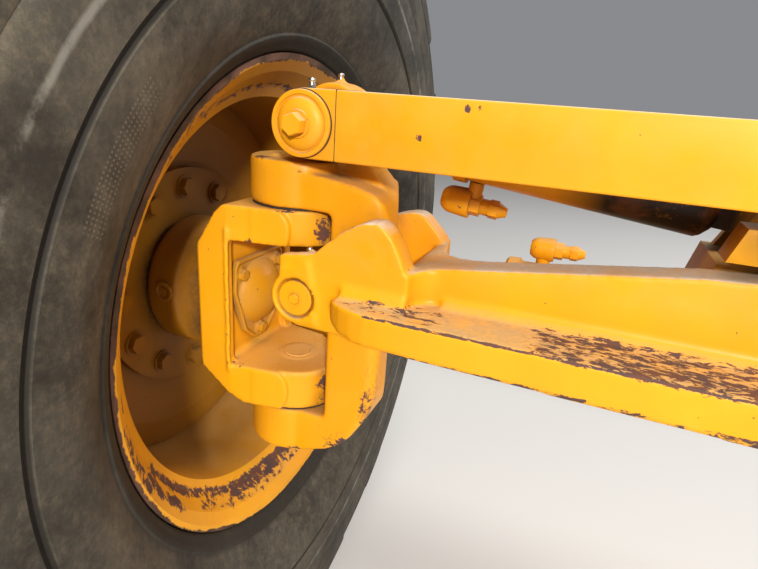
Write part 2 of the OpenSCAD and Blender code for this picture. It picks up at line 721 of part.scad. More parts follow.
// A hydraulic port: a cup-shaped block with two hexagon adapters, along +X
module port_fitting() {
    rotate([0, 90, 0]) {
        rotate_extrude($fn = 48)
            polygon(concat([[0, 0]], arc(0, 15, 19, -52, 0, 4), [[20, 34], [20, 40], [0, 40]]));
        translate([0, 0, 40]) cylinder(h = 14, r = 15, $fn = 6);
        translate([0, 0, 54]) cylinder(h = 12, r = 11, $fn = 32);
        translate([0, 0, 66]) cylinder(h = 12, r = 13, $fn = 6);
        translate([0, 0, 78]) cylinder(h = 12, r1 = 11, r2 = 6, $fn = 32);
    }
}

// Port of the lean cylinder, hanging under its gland and pointing inboard
module lean_cylinder_port() {
    drop = lean_cyl_d / 2 + 30;
    color(paint) at_lean_cylinder() {
        translate([barrel_end + 8, 0, -drop]) mirror([1, 0, 0]) port_fitting();
        translate([barrel_end - 34, 0, -drop + 10]) cylinder(h = drop - 10 - lean_cyl_d / 2 - run, r = 10, $fn = 32);
    }
}

module lean_cylinder_rod() {
    color(steel) at_lean_cylinder() {
        bar_x(lean_base + 30 + lean_stroke, lean_len - 36, lean_rod_d / 2);
        difference() {
            union() {
                bar_y(lean_len, 0, rod_eye_r, neck_back + 3 - lean_cyl_y, 18);
                translate([lean_len - rod_eye_r - 16, -lean_rod_d / 2, -26])
                    cube([rod_eye_r, lean_rod_d / 2 + 18, 52]);
            }
            bar_y(lean_len, 0, bar_pin_d / 2 + rod_eye_play, -40, 10);
        }
    }
}

/* Steering cylinders */
steer_len = kingpin_x - steer_anchor_x;
steer_end = steer_len - 278;    // end of the steering cylinder tube from its anchor
steer_base = 30;     // start of the tube
steer_stroke = 90;   // travel of the rod each way
cup_r = 33;          // socket cup over the stud of the steering arm
cup_bore_r = 29;

// Puts a steering cylinder, drawn along +X from its anchor, in its place
module at_steer_cylinder(side) {
    translate([side * steer_anchor_x, steer_cyl_y, steer_cyl_z - pivot_rise])
        mirror([side < 0 ? 1 : 0, 0, 0]) children();
}

module steer_barrel(side) {
    color(paint) at_steer_cylinder(side) difference() {
        union() {
            barrel(steer_cyl_d, steer_rod_d, steer_base, steer_end);
            bar_y(0, 0, 26, -steer_eye_w / 2, steer_eye_w / 2);
            translate([0, -steer_eye_w / 2, -18]) cube([36, steer_eye_w, 36]);
        }
        bar_y(0, 0, 14 + run, -60, 60);
    }
}

module steer_port(side) {
    color(paint) at_steer_cylinder(side) {
        translate([steer_end - 32, 0, steer_cyl_d / 2 + 24]) mirror([1, 0, 0]) scale(0.85) port_fitting();
        translate([steer_end - 52, 0, steer_cyl_d / 2 + run]) cylinder(h = 11, r = 10, $fn = 32);
    }
}

// Rod with the socket cup that hides the stud of the steering arm
module steer_rod(side) {
    color(steel) at_steer_cylinder(side) difference() {
        union() {
            bar_x(steer_base + 30 + steer_stroke, steer_len - cup_bore_r + 9, steer_rod_d / 2);
            bar_z(steer_len, 0, cup_r, -22, 20);
            bar_z(steer_len, 0, cup_r - 11, 20, 25);
        }
        bar_z(steer_len, 0, cup_bore_r, -23, 12);
    }
}

/* Tie rod */
ball_r = 19;
ball_play = 0.4;
ball_drift = 6;      // more room in the left socket: the two ball ends change their distance

// Ball with its stud through the steering arm and its nut on top
module tie_ball(side) {
    color(steel) at_end(side) {
        translate([0, tie_y, tie_z]) sphere(r = ball_r, $fn = 48);
        bar_z(0, tie_y, stud_r, tie_z, arm_top + 14);
        bar_z(0, tie_y, 18, arm_top + face, arm_top + 14, 6);
    }
}

module tie_rod() {
    color(paint) translate([0, tie_y, tie_z - pivot_rise]) difference() {
        union() {
            bar_x(-kingpin_x + 20, kingpin_x - 20, tie_d / 2);
            for (side = [right, left]) translate([side * kingpin_x, 0, 0]) mirror([side > 0 ? 1 : 0, 0, 0]) {
                bar_z(0, 0, ball_r + 14, -28, 14);
                bar_x(60, 120, tie_d / 2 + 6);
            }
        }
        translate([-kingpin_x, 0, 0]) {
            sphere(r = ball_r + ball_play, $fn = 48);
            cylinder(h = 30, r = ball_r + 5, $fn = 48);
        }
        translate([kingpin_x, 0, 0]) {
            sphere(r = ball_r + ball_drift, $fn = 48);
            cylinder(h = 30, r = ball_r + ball_drift, $fn = 48);
        }
    }
}

axle_beam();
axle_fork(right);  // axle_fork_right
axle_fork(left);  // axle_fork_left
lean_tower();
steer_lugs();
pivot_bushing();
lean_anchor_pin();
steer_anchor_pins();
lean_pin(right);  // lean_pin_right
lean_pin(left);  // lean_pin_left
lean_bracket(right);  // lean_bracket_right
lean_bracket(left);  // lean_bracket_left
kingpins(right);  // kingpins_right
kingpins(left);  // kingpins_left
knuckle(right);  // knuckle_right
knuckle(left);  // knuckle_left
spindle_housing(right);  // spindle_housing_right
spindle_housing(left);  // spindle_housing_left
bearing_cover(right);  // bearing_cover_right
bearing_cover(left);  // bearing_cover_left
steering_arm(right);  // steering_arm_right
steering_arm(left);  // steering_arm_left
wheel_hub(right);  // wheel_hub_right
wheel_hub(left);  // wheel_hub_left
rim(right);  // rim_right
rim(left);  // rim_left
tyre(right);  // tyre_right
tyre(left);  // tyre_left
lean_bar();
lean_bar_pin(right);  // lean_bar_pin_right
lean_bar_pin(left);  // lean_bar_pin_left
lean_cylinder_barrel();
lean_cylinder_port();
lean_cylinder_rod();
steer_barrel(right);  // steer_barrel_right
steer_barrel(left);  // steer_barrel_left
steer_port(right);  // steer_port_right
steer_port(left);  // steer_port_left
steer_rod(right);  // steer_rod_right
steer_rod(left);  // steer_rod_left
tie_ball(right);  // tie_ball_right
tie_ball(left);  // tie_ball_left
tie_rod();
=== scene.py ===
import bpy
import bmesh
import json
import math
import random
from mathutils import Matrix, Vector


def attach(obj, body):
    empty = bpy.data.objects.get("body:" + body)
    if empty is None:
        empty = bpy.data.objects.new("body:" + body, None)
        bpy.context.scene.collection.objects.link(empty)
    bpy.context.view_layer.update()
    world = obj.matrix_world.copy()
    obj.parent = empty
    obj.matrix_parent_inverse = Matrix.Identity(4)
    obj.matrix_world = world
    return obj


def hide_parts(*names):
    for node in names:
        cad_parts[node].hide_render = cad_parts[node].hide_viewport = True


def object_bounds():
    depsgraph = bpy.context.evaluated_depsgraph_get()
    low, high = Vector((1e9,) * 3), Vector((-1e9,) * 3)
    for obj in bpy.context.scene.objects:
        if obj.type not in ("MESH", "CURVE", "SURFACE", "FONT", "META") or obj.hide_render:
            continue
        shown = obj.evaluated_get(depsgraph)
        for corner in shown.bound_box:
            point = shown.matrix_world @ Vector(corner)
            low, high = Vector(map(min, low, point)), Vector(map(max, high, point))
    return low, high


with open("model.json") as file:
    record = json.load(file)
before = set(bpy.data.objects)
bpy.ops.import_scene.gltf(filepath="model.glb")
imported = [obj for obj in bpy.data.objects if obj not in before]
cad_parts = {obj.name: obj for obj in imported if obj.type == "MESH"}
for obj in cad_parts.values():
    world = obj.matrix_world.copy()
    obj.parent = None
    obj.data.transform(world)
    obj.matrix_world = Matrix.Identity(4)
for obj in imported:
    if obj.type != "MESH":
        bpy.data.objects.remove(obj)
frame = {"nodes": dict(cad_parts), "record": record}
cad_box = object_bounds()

NODES = frame["nodes"]
BODIES = frame["record"]["behaviour"]["bodies"]
SIDES = {"right": -1, "left": 1}
TAU = math.tau

# Places in metres, the same numbers as in the CAD source. A wheel end has a frame of its own:
# its origin is where the kingpins cross the wheel's axis, and its X runs towards the middle.
KINGPIN_X = 0.918
RISE = 0.1                  # from the wheels' axis up to the centre pivot
PIN_X = 0.050               # lean pin and lean bar pin, inboard of the kingpins
LEAN_PIN_Z = 0.044
BAR_PIN_Z = 0.260
BAR_FRONT = -0.093
BAR_BACK = -0.023
BAR_HALF_HEIGHT = 0.040
# Two planes of the looks: 0.2 mm under the knuckle's outer faces, and inside the wheel's disc
KNUCKLE_TOP = 0.1478
DISC_X = KINGPIN_X + 0.2225

FRONT = Matrix.Rotation(math.radians(90), 4, "X")      # turns +Z to -Y


def end(side, x, y, z):
    """A point in the frame of the wheel end at -X, put on either end."""
    sign = SIDES[side]
    return Vector((sign * KINGPIN_X - sign * x, y, z - RISE))


# Camera, fitted to the photograph
EYE = (-0.5372, -0.6799, 0.2014)
LOOK = (-0.33149, 0.88342, -0.33119)
LOOK_RIGHT = (0.92573, 0.37229, 0.06646)

cam_data = bpy.data.cameras.new("camera")
cam_data.lens = 26.06
cam_data.sensor_width = 36
cam_data.clip_start = 0.02
cam = bpy.data.objects.new("camera", cam_data)
bpy.context.collection.objects.link(cam)
forward = Vector(LOOK).normalized()
right = Vector(LOOK_RIGHT)
right = (right - forward * right.dot(forward)).normalized()
turned = Matrix((right, right.cross(forward), -forward)).transposed()
cam.matrix_world = Matrix.Translation(EYE) @ turned.to_4x4()
bpy.context.scene.camera = cam
bpy.context.scene.view_settings.view_transform = "Standard"


# Materials
class Mat:
    """Builds a node material from object coordinates, which stay with a piece when it moves."""

    def __init__(self, name):
        self.material = bpy.data.materials.new(name)
        self.material.use_nodes = True
        self.tree = self.material.node_tree
        self.tree.nodes.clear()
        self.bsdf = self.new("BsdfPrincipled")
        self.link(self.bsdf.outputs[0], self.new("OutputMaterial").inputs[0])
        self.place = self.new("TexCoord").outputs["Object"]
        self.x, self.y, self.z = self.split(self.place)
        both = self.new("CombineXYZ")           # both ends of the axle wear alike
        self.link(self.math("ABSOLUTE", self.x), both.inputs[0])
        self.link(self.y, both.inputs[1])
        self.link(self.z, both.inputs[2])
        self.both = both.outputs[0]
        # height over the wheel axis, and distance and angle round it
        self.up = self.add(self.z, RISE)
        squares = self.add(self.times(self.y, self.y), self.times(self.up, self.up))
        self.radius = self.math("SQRT", squares)
        self.turn = self.math("ARCTAN2", self.up, self.y)

    def new(self, kind):
        return self.tree.nodes.new("ShaderNode" + kind)

    def link(self, a, b):
        self.tree.links.new(a, b)

    def put(self, socket, value):
        if isinstance(value, bpy.types.NodeSocket):
            self.link(value, socket)
        elif isinstance(value, tuple) and len(value) == 3 and socket.type == "RGBA":
            socket.default_value = (*value, 1)
        else:
            socket.default_value = value

    def math(self, operation, a, b=0.0, clamp=False):
        node = self.new("Math")
        node.operation = operation
        node.use_clamp = clamp
        self.put(node.inputs[0], a)
        self.put(node.inputs[1], b)
        return node.outputs[0]

    def add(self, a, b, clamp=False):
        return self.math("ADD", a, b, clamp)

    def minus(self, a, b):
        return self.math("SUBTRACT", a, b)

    def times(self, a, b, clamp=False):
        return self.math("MULTIPLY", a, b, clamp)

    def most(self, a, b):
        return self.math("MAXIMUM", a, b)

    def vector_math(self, operation, a, b=None):
        node = self.new("VectorMath")
        node.operation = operation
        self.link(a, node.inputs[0])
        if b is not None:
            self.put(node.inputs[1], b)
        return node.outputs

    def split(self, vector):
        node = self.new("SeparateXYZ")
        self.link(vector, node.inputs[0])
        return node.outputs

    def normal(self):
        return self.new("NewGeometry").outputs["Normal"]

    def noise(self, scale, detail, rough, stretch=None, distort=0.0):
        node = self.new("TexNoise")
        place = self.place
        if stretch:
            mapping = self.new("Mapping")
            mapping.inputs["Scale"].default_value = stretch
            self.link(place, mapping.inputs["Vector"])
            place = mapping.outputs[0]
        self.link(place, node.inputs["Vector"])
        node.inputs["Scale"].default_value = scale
        node.inputs["Detail"].default_value = detail
        node.inputs["Roughness"].default_value = rough
        node.inputs["Distortion"].default_value = distort
        return node.outputs["Fac"]

    def ramp(self, value, low, high, at_low=0.0, at_high=1.0):
        node = self.new("MapRange")
        node.clamp = True
        self.put(node.inputs[0], value)
        for socket, setting in zip(node.inputs[1:5], (low, high, at_low, at_high)):
            socket.default_value = setting
        return node.outputs[0]

    def mix(self, share, a, b):
        node = self.new("Mix")
        node.data_type = "RGBA"
        self.put(node.inputs[0], share)
        self.put(node.inputs[6], a)
        self.put(node.inputs[7], b)
        return node.outputs[2]

    def crevice(self, distance):
        """1 in corners, from ambient occlusion: in the paint, grime and painted shade; on the
        tyre, pale grime.
        """
        node = self.new("AmbientOcclusion")
        node.samples = 6
        node.inputs["Distance"].default_value = distance
        return self.ramp(node.outputs["AO"], 0.25, 0.85, 1.0, 0.0)

    def edge(self, radius):
        """1 on outer edges, from how far a bevelled normal leans away from the true one."""
        node = self.new("Bevel")
        node.samples = 4
        node.inputs["Radius"].default_value = radius
        leaning = self.vector_math("DOT_PRODUCT", node.outputs[0], self.normal())["Value"]
        return self.ramp(leaning, 0.995, 0.80, 0.0, 1.0)

    def band(self, value, middle, half, soft):
        """1 where a value is within half of its middle, fading over soft."""
        away = self.math("ABSOLUTE", self.minus(value, middle))
        return self.ramp(away, half, half + soft, 1.0, 0.0)

    def zone(self, centre, reach, inner=0.3):
        """1 round a point, fading to 0 at its reach, which may differ along X, Y and Z."""
        away = self.vector_math("SUBTRACT", self.both, centre)[0]
        scaled = self.vector_math("DIVIDE", away, reach)[0]
        return self.ramp(self.vector_math("LENGTH", scaled)["Value"], inner, 1.0, 1.0, 0.0)

    def patch(self, centre, half, soft):
        """1 inside a box round a point, fading to 0 over soft outside it."""
        inside = 1.0
        for value, middle, width, fade in zip(self.split(self.both), centre, half, soft):
            inside = self.times(inside, self.band(value, middle, width, fade))
        return inside

    def bump(self, height, strength, distance):
        node = self.new("Bump")
        node.inputs["Strength"].default_value = strength
        node.inputs["Distance"].default_value = distance
        self.link(height, node.inputs["Height"])
        self.link(node.outputs[0], self.bsdf.inputs["Normal"])

    def surface(self, colour, rough, gloss=None):
        """Colour, roughness and, where it isn't the usual one, the strength of reflections."""
        self.link(colour, self.bsdf.inputs["Base Color"])
        self.link(rough, self.bsdf.inputs["Roughness"])
        if gloss is not None:
            self.bsdf.inputs["Specular IOR Level"].default_value = gloss


YELLOW = (0.84, 0.375, 0.004)
YELLOW_DEEP = (0.70, 0.275, 0.003)
YELLOW_FADED = (0.90, 0.47, 0.045)
# Inside the wheel: brown for grime and painted shade deeper in, and painted shade overhead
INSIDE_GRIME_AND_SHADE = (0.30, 0.125, 0.004)
OVERHEAD_PAINTED_SHADE = (0.30, 0.12, 0.004)
DUST = (0.53, 0.335, 0.135)
# lighter, yellower dust: dust, and painted light where the knuckle's arm top lies in shade
DUST_AND_PAINTED_LIGHT = (0.84, 0.49, 0.14)
PALE_DUST = (0.66, 0.55, 0.42)
DARK_DUST = (0.20, 0.12, 0.05)
# Corners of the paint: grime and painted shade
CORNER_GRIME_AND_SHADE = (0.055, 0.030, 0.012)
DRY_CORNER_GRIME_AND_SHADE = (0.16, 0.085, 0.03)
RUST = (0.118, 0.050, 0.032)
PRIMER = (0.078, 0.047, 0.045)
CHIP_RIM = (0.42, 0.16, 0.03)
SCUFF = (0.36, 0.135, 0.035)
LIP_DARK = (0.046, 0.025, 0.013)
LIP_LIGHT = (0.140, 0.068, 0.044)
STAIN = (0.022, 0.012, 0.007)
STAIN_LIGHT = (0.10, 0.038, 0.014)
RUBBER_DARK = (0.021, 0.019, 0.015)
RUBBER_PALE = (0.056, 0.051, 0.040)
RUBBER_BLACK = (0.014, 0.011, 0.008)
RUBBER_MUD = (0.150, 0.120, 0.078)
RUBBER_DUST = (0.18, 0.145, 0.100)
RUBBER_DIRT = (0.15, 0.12, 0.08)
RUBBER_RUBBED = (0.26, 0.25, 0.22)
RUBBER_HATCH = (0.16, 0.13, 0.09)
STEEL_RUST = (0.13, 0.055, 0.028)
GREASE = (0.018, 0.014, 0.011)


def wheel_grime_and_painted_shade(m, colour):
    """Brown grime and painted shade inside the wheel, darker deeper in, and painted shade
    overhead, most of all where the rim's top lies in shade; none outboard of the disc.
    """
    depth = m.math("ABSOLUTE", m.x)
    inboard = m.ramp(depth, DISC_X, DISC_X + 0.001, 1.0, 0.0)
    # deeper in: grime and painted shade
    inner = m.times(m.ramp(depth, KINGPIN_X + 0.050, KINGPIN_X + 0.130), inboard)
    # overhead: painted shade, where the inside of the rim's top lies in shade
    overhead = m.times(m.ramp(m.up, 0.10, 0.27, 0.0, 0.70), inboard)
    return m.mix(overhead, m.mix(inner, colour, INSIDE_GRIME_AND_SHADE), OVERHEAD_PAINTED_SHADE)


def dust_cover(m, film, dust, top_dust, dusty_zones):
    """A thin film of dust everywhere, and more of it on what faces up and in zones."""
    up_face = m.ramp(m.split(m.normal())[2], 0.62, 0.93)
    settled = m.times(up_face, m.ramp(film, 0.05, 0.6, 0.55, 1.0))
    cover = m.add(m.times(settled, top_dust), m.times(film, 0.14 * dust), True)
    for centre, reach, strength in dusty_zones:
        near = m.times(m.zone(centre, reach), m.ramp(film, 0.0, 0.5, 0.65, 1.0))
        cover = m.most(cover, m.times(near, strength))
    return cover


def chip_level(m, chips, flakes, zones, patches, rings):
    """Grain, raised on edges and where the photograph shows chips. High grain is a chip."""
    edge = m.times(m.edge(0.003), m.ramp(m.noise(14, 4, 0.65), 0.40, 0.66))
    where = m.times(edge, chips)
    for centre, reach, strength in zones:
        where = m.most(where, m.times(m.zone(centre, reach, 0.35), strength))
    for centre, half, soft, strength in patches:
        where = m.most(where, m.times(m.patch(centre, half, soft), strength))
    for radius, radius_half, turn, turn_half, strength in rings:
        near = m.times(m.band(m.radius, radius, radius_half, 0.008),
                       m.band(m.turn, turn, turn_half, 0.10))
        where = m.most(where, m.times(near, strength))
    grain = m.noise(75, 9, 0.74, stretch=flakes, distort=0.5)
    return m.add(m.times(where, 0.36), grain)


def worn_lip(m):
    """1 on the lip's outer edge, rubbed bare by the tyre, most of all high up at the front."""
    uneven = m.add(m.times(m.noise(38, 7, 0.72), 0.018), m.times(m.noise(13, 3, 0.5), 0.010))
    high_up = m.times(m.math("COSINE", m.minus(m.turn, 2.2)), 0.0050)
    return m.ramp(m.add(m.radius, m.add(uneven, high_up)), 0.3505, 0.3515)


def paint(name, dust=0.5, top_dust=0.6, chips=0.35, grime=0.7, zones=(), patches=(), rings=(),
          scuffs=(), dusty_zones=(), dark_zones=(), cast=True, tone=1.0, flakes=(1, 1, 1),
          dust_tint=DUST, pale_above=None, deep=False):
    """Worn yellow machine paint: dust on top, grime and painted shade in corners, chips down to
    rusty steel. Dust, chips and grime are strengths, flakes stretch the chips, and pale_above is
    the height from which dust is pale. A deep paint is for wheels: brown grime and painted shade
    inside, painted shade overhead, and a bare lip."""
    m = Mat(name)
    mid = m.noise(22, 5, 0.6)
    fine = m.noise(170, 4, 0.7)
    base = tuple(channel * tone for channel in YELLOW)
    darker = tuple(channel * tone for channel in YELLOW_DEEP)
    colour = m.mix(m.ramp(m.noise(3.2, 3, 0.55), 0.38, 0.72), base, darker)
    colour = m.mix(m.ramp(m.noise(9, 5, 0.65), 0.56, 0.80, 0.0, 0.35), colour, YELLOW_FADED)
    # wheels: grime and painted shade inside, painted shade overhead
    if deep:
        colour = wheel_grime_and_painted_shade(m, colour)
    # dust
    if pale_above is not None:
        dust_tint = m.mix(m.ramp(m.z, pale_above, pale_above + 0.02), dust_tint, PALE_DUST)
    film = m.times(m.ramp(mid, 0.30, 0.72), m.ramp(fine, 0.25, 0.7, 0.6, 1.0))
    dusty = dust_cover(m, film, dust, top_dust, dusty_zones)
    colour = m.mix(dusty, colour, m.mix(m.ramp(fine, 0.3, 0.7, 0.0, 0.25), dust_tint, DARK_DUST))
    # grime and painted shade in corners, where ambient occlusion is low
    grime_and_shade_share = m.times(m.times(m.crevice(0.030), m.ramp(mid, 0.3, 0.62, 0.25, 1.0)), grime, True)
    colour = m.mix(grime_and_shade_share, colour, m.mix(m.ramp(fine, 0.4, 0.6), CORNER_GRIME_AND_SHADE, DRY_CORNER_GRIME_AND_SHADE))
    # scuffs, and chips with a brown rim
    for centre, reach, strength in scuffs:
        near = m.zone(centre, reach, 0.2)
        rub = m.add(m.noise(190, 6, 0.8, stretch=(1.3, 1.0, 0.6)), m.times(near, 0.10 * strength))
        colour = m.mix(m.times(m.ramp(rub, 0.60, 0.64), m.times(near, 0.75)), colour, SCUFF)
    level = chip_level(m, chips, flakes, zones, patches, rings)
    speck = m.times(m.ramp(m.noise(120, 2, 0.5), 0.770, 0.785), 0.85)
    chip = m.most(m.ramp(level, 0.705, 0.725), speck)
    colour = m.mix(m.times(m.ramp(level, 0.665, 0.70), 0.35), colour, CHIP_RIM)
    colour = m.mix(chip, colour, m.mix(m.ramp(m.noise(35, 5, 0.7), 0.42, 0.6), RUST, PRIMER))
    if deep:
        bare = worn_lip(m)
        colour = m.mix(bare, colour, m.mix(m.ramp(mid, 0.40, 0.62), LIP_DARK, LIP_LIGHT))
        chip = m.most(chip, bare)
    # dark stains
    for centre, reach, strength in dark_zones:
        broken = m.ramp(m.noise(30, 7, 0.7), 0.30, 0.42, 0.3, 1.0)
        stain = m.times(m.times(m.zone(centre, reach, 0.55), broken), strength)
        colour = m.mix(stain, colour, m.mix(m.ramp(mid, 0.50, 0.60), STAIN, STAIN_LIGHT))
    rough = m.add(m.ramp(film, 0.0, 1.0, 0.38, 0.55), m.times(dusty, 0.4), True)
    m.surface(colour, m.most(rough, m.times(chip, 0.75)), 0.28)
    # cast skin is rougher than plate, and chips lie lower than paint
    skin = m.times(m.noise(150 if cast else 50, 3, 0.5), 0.30 if cast else 0.07)
    skin = m.add(skin, m.times(m.noise(28, 2, 0.5), 0.35 if cast else 0.0))
    m.bump(m.minus(skin, m.times(chip, 0.45)), 0.35, 0.0012)
    return m.material


def rubber(name):
    """Dry grey tyre rubber with rings, dust and a patch of fine hatching, but no lettering."""
    m = Mat(name)
    mid = m.noise(13, 7, 0.7)
    fine = m.noise(150, 5, 0.75)
    cloud = m.noise(4.5, 4, 0.6)
    colour = m.mix(m.ramp(mid, 0.34, 0.66), RUBBER_DARK, RUBBER_PALE)
    mud = m.times(m.ramp(m.noise(90, 8, 0.82), 0.46, 0.62),
                  m.ramp(m.noise(6.5, 7, 0.72), 0.40, 0.62, 0.15, 1.0))
    colour = m.mix(m.times(mud, 0.52), colour, RUBBER_MUD)
    dust = m.times(m.ramp(cloud, 0.42, 0.72), m.ramp(m.times(fine, mid), 0.14, 0.36))
    colour = m.mix(m.times(dust, 0.55), colour, RUBBER_DUST)
    colour = m.mix(m.times(m.crevice(0.010), 0.40), colour, RUBBER_DIRT)
    # dark where the tyre meets the rim, and in the groove on the sidewall
    bead = m.band(m.radius, 0.352, 0.008, 0.010)
    groove = m.band(m.radius, 0.4585, 0.0034, 0.0012)
    dark = m.most(m.times(bead, 0.75), m.times(groove, 0.9))
    colour = m.mix(dark, colour, RUBBER_BLACK)
    # a pale ring, rubbed and broken up
    wavy = m.add(m.radius, m.times(cloud, 0.02))
    scuff = m.times(m.band(wavy, 0.508, 0.0014, 0.003), m.ramp(mid, 0.38, 0.55))
    colour = m.mix(m.times(scuff, 0.55), colour, RUBBER_RUBBED)
    # hatching: short dashes in rows, in one sector of the inner sidewall
    rows = m.math("SINE", m.times(m.radius, TAU / 0.0054))
    dashes = m.math("SINE", m.times(m.turn, 600))
    sector = m.times(m.band(m.radius, 0.417, 0.013, 0.002), m.band(m.turn, 2.53, 0.16, 0.012))
    hatch = m.times(m.times(m.ramp(rows, -0.2, 0.6), m.ramp(dashes, -0.2, 0.6)), sector)
    colour = m.mix(m.times(hatch, 0.5), colour, RUBBER_HATCH)
    m.surface(colour, m.minus(m.ramp(dust, 0, 1, 0.68, 0.92), m.times(bead, 0.06)), 0.22)
    height = m.add(m.times(fine, 0.6), m.times(m.noise(45, 6, 0.75), 1.1))
    m.bump(m.add(height, m.times(hatch, 1.2)), 0.45, 0.0012)
    return m.material


def steel(name, rough, rust, base=(0.42, 0.40, 0.38), metallic=1.0, grease=0.0):
    """Bare metal with spots of rust and, where asked for, a film of grease."""
    m = Mat(name)
    fine = m.noise(210, 3, 0.6)
    spot = m.ramp(m.add(m.noise(26, 6, 0.65), m.times(fine, 0.15)), 0.55, 0.72)
    spot = m.times(spot, rust)
    colour = m.mix(spot, base, STEEL_RUST)
    if grease:
        film = m.times(m.ramp(m.noise(7, 4, 0.6), 0.35, 0.6), grease)
        colour = m.mix(film, colour, GREASE)
    m.surface(colour, m.ramp(spot, 0, 1, rough, 0.8))
    m.bsdf.inputs["Metallic"].default_value = metallic
    m.bump(fine, 0.2, 0.0006)
    return m.material


def at_end(*spots):
    """Spots whose first item is a point of a wheel end, moved to where the materials see it."""
    return [((KINGPIN_X - x, y, z - RISE), *rest) for (x, y, z), *rest in spots]


# Where the photograph shows wear. Zones: point, reach, strength. Patches: point, half size,
# soft edge, strength. Rings: radius, half width, angle, half angle, strength.
LEDGE_CHIPS = at_end(((0.780, -0.146, 0.050), (0.060, 0.006, 0.012), 0.62))
LEDGE_PATCHES = at_end(
    ((0.152, -0.118, 0.060), (0.018, 0.012, 0.004), (0.030, 0.010, 0.004), 0.47),
    ((0.215, -0.112, 0.060), (0.024, 0.022, 0.004), (0.030, 0.010, 0.004), 0.52),
    ((0.580, -0.108, 0.060), (0.220, 0.036, 0.004), (0.040, 0.006, 0.004), 0.60),
    ((0.560, -0.128, 0.060), (0.140, 0.014, 0.004), (0.060, 0.010, 0.004), 0.68),
    ((0.520, -0.146, 0.060), (0.400, 0.0020, 0.0028), (0.020, 0.003, 0.0015), 0.78),
    ((0.540, -0.146, 0.013), (0.390, 0.0030, 0.0075), (0.020, 0.003, 0.0030), 0.60))
BRACKET_CHIPS = at_end(
    ((0.142, -0.062, -0.130), (0.020, 0.030, 0.080), 0.55),
    ((0.115, -0.062, -0.190), (0.050, 0.030, 0.028), 0.62),
    ((0.040, -0.062, -0.217), (0.050, 0.030, 0.012), 0.45),
    ((0.094, -0.064, 0.190), (0.016, 0.012, 0.008), 0.62),
    ((-0.030, -0.055, 0.211), (0.035, 0.020, 0.006), 0.60),
    ((0.030, -0.050, 0.199), (0.020, 0.020, 0.006), 0.50))
BRACKET_SCUFFS = at_end(
    ((0.146, -0.055, -0.115), (0.026, 0.040, 0.110), 1.0),
    ((0.120, -0.055, -0.190), (0.055, 0.040, 0.045), 1.2))
KNUCKLE_CHIPS = at_end(
    ((0.056, -0.040, 0.122), (0.018, 0.026, 0.030), 0.68),
    ((0.064, -0.030, -0.118), (0.015, 0.030, 0.044), 0.76),
    ((-0.034, -0.080, 0.100), (0.012, 0.012, 0.010), 0.60),
    ((0.020, -0.071, 0.147), (0.040, 0.020, 0.004), 0.66),
    ((-0.066, -0.090, -0.010), (0.006, 0.010, 0.120), 0.40),
    ((-0.055, -0.080, -0.090), (0.030, 0.010, 0.010), 0.50))
KNUCKLE_DUST = at_end(((0.020, 0.0, -0.086), (0.090, 0.100, 0.014), 0.95))
COVER_DUST = at_end(((-0.074, 0.0, 0.0), (0.010, 0.080, 0.090), 0.75))
BAR_CHIPS = at_end(
    ((0.194, -0.093, 0.257), (0.008, 0.010, 0.008), 0.68),
    ((0.245, -0.093, 0.291), (0.006, 0.010, 0.006), 0.64),
    ((0.257, -0.093, 0.292), (0.005, 0.010, 0.006), 0.70))
RIM_CHIPS = at_end(((-0.020, -0.200, 0.235), (0.012, 0.100, 0.100), 0.45))
RIM_RINGS = [
    (0.3005, 0.0030, -1.80, 0.85, 0.74),
    (0.3030, 0.0060, -1.55, 0.42, 0.80),
    (0.3100, 0.0060, -1.75, 0.50, 0.50),
    (0.3000, 0.0020, 1.90, 0.50, 0.56),
    (0.3160, 0.0040, -2.66, 0.04, 0.80),
    (0.3160, 0.0040, -2.50, 0.03, 0.80),
    (0.3160, 0.0030, -3.08, 0.03, 0.74),
    (0.3240, 0.0060, -2.85, 0.16, 0.62),
    (0.3120, 0.0040, 2.08, 0.05, 0.60)]
CYLINDER_STAIN = [((0.455, 0.058, 0.115), (0.13, 0.20, 0.20), 1.0)]
TOWER_STAIN = [((0.345, 0.0, 0.100), (0.08, 0.12, 0.05), 0.7)]

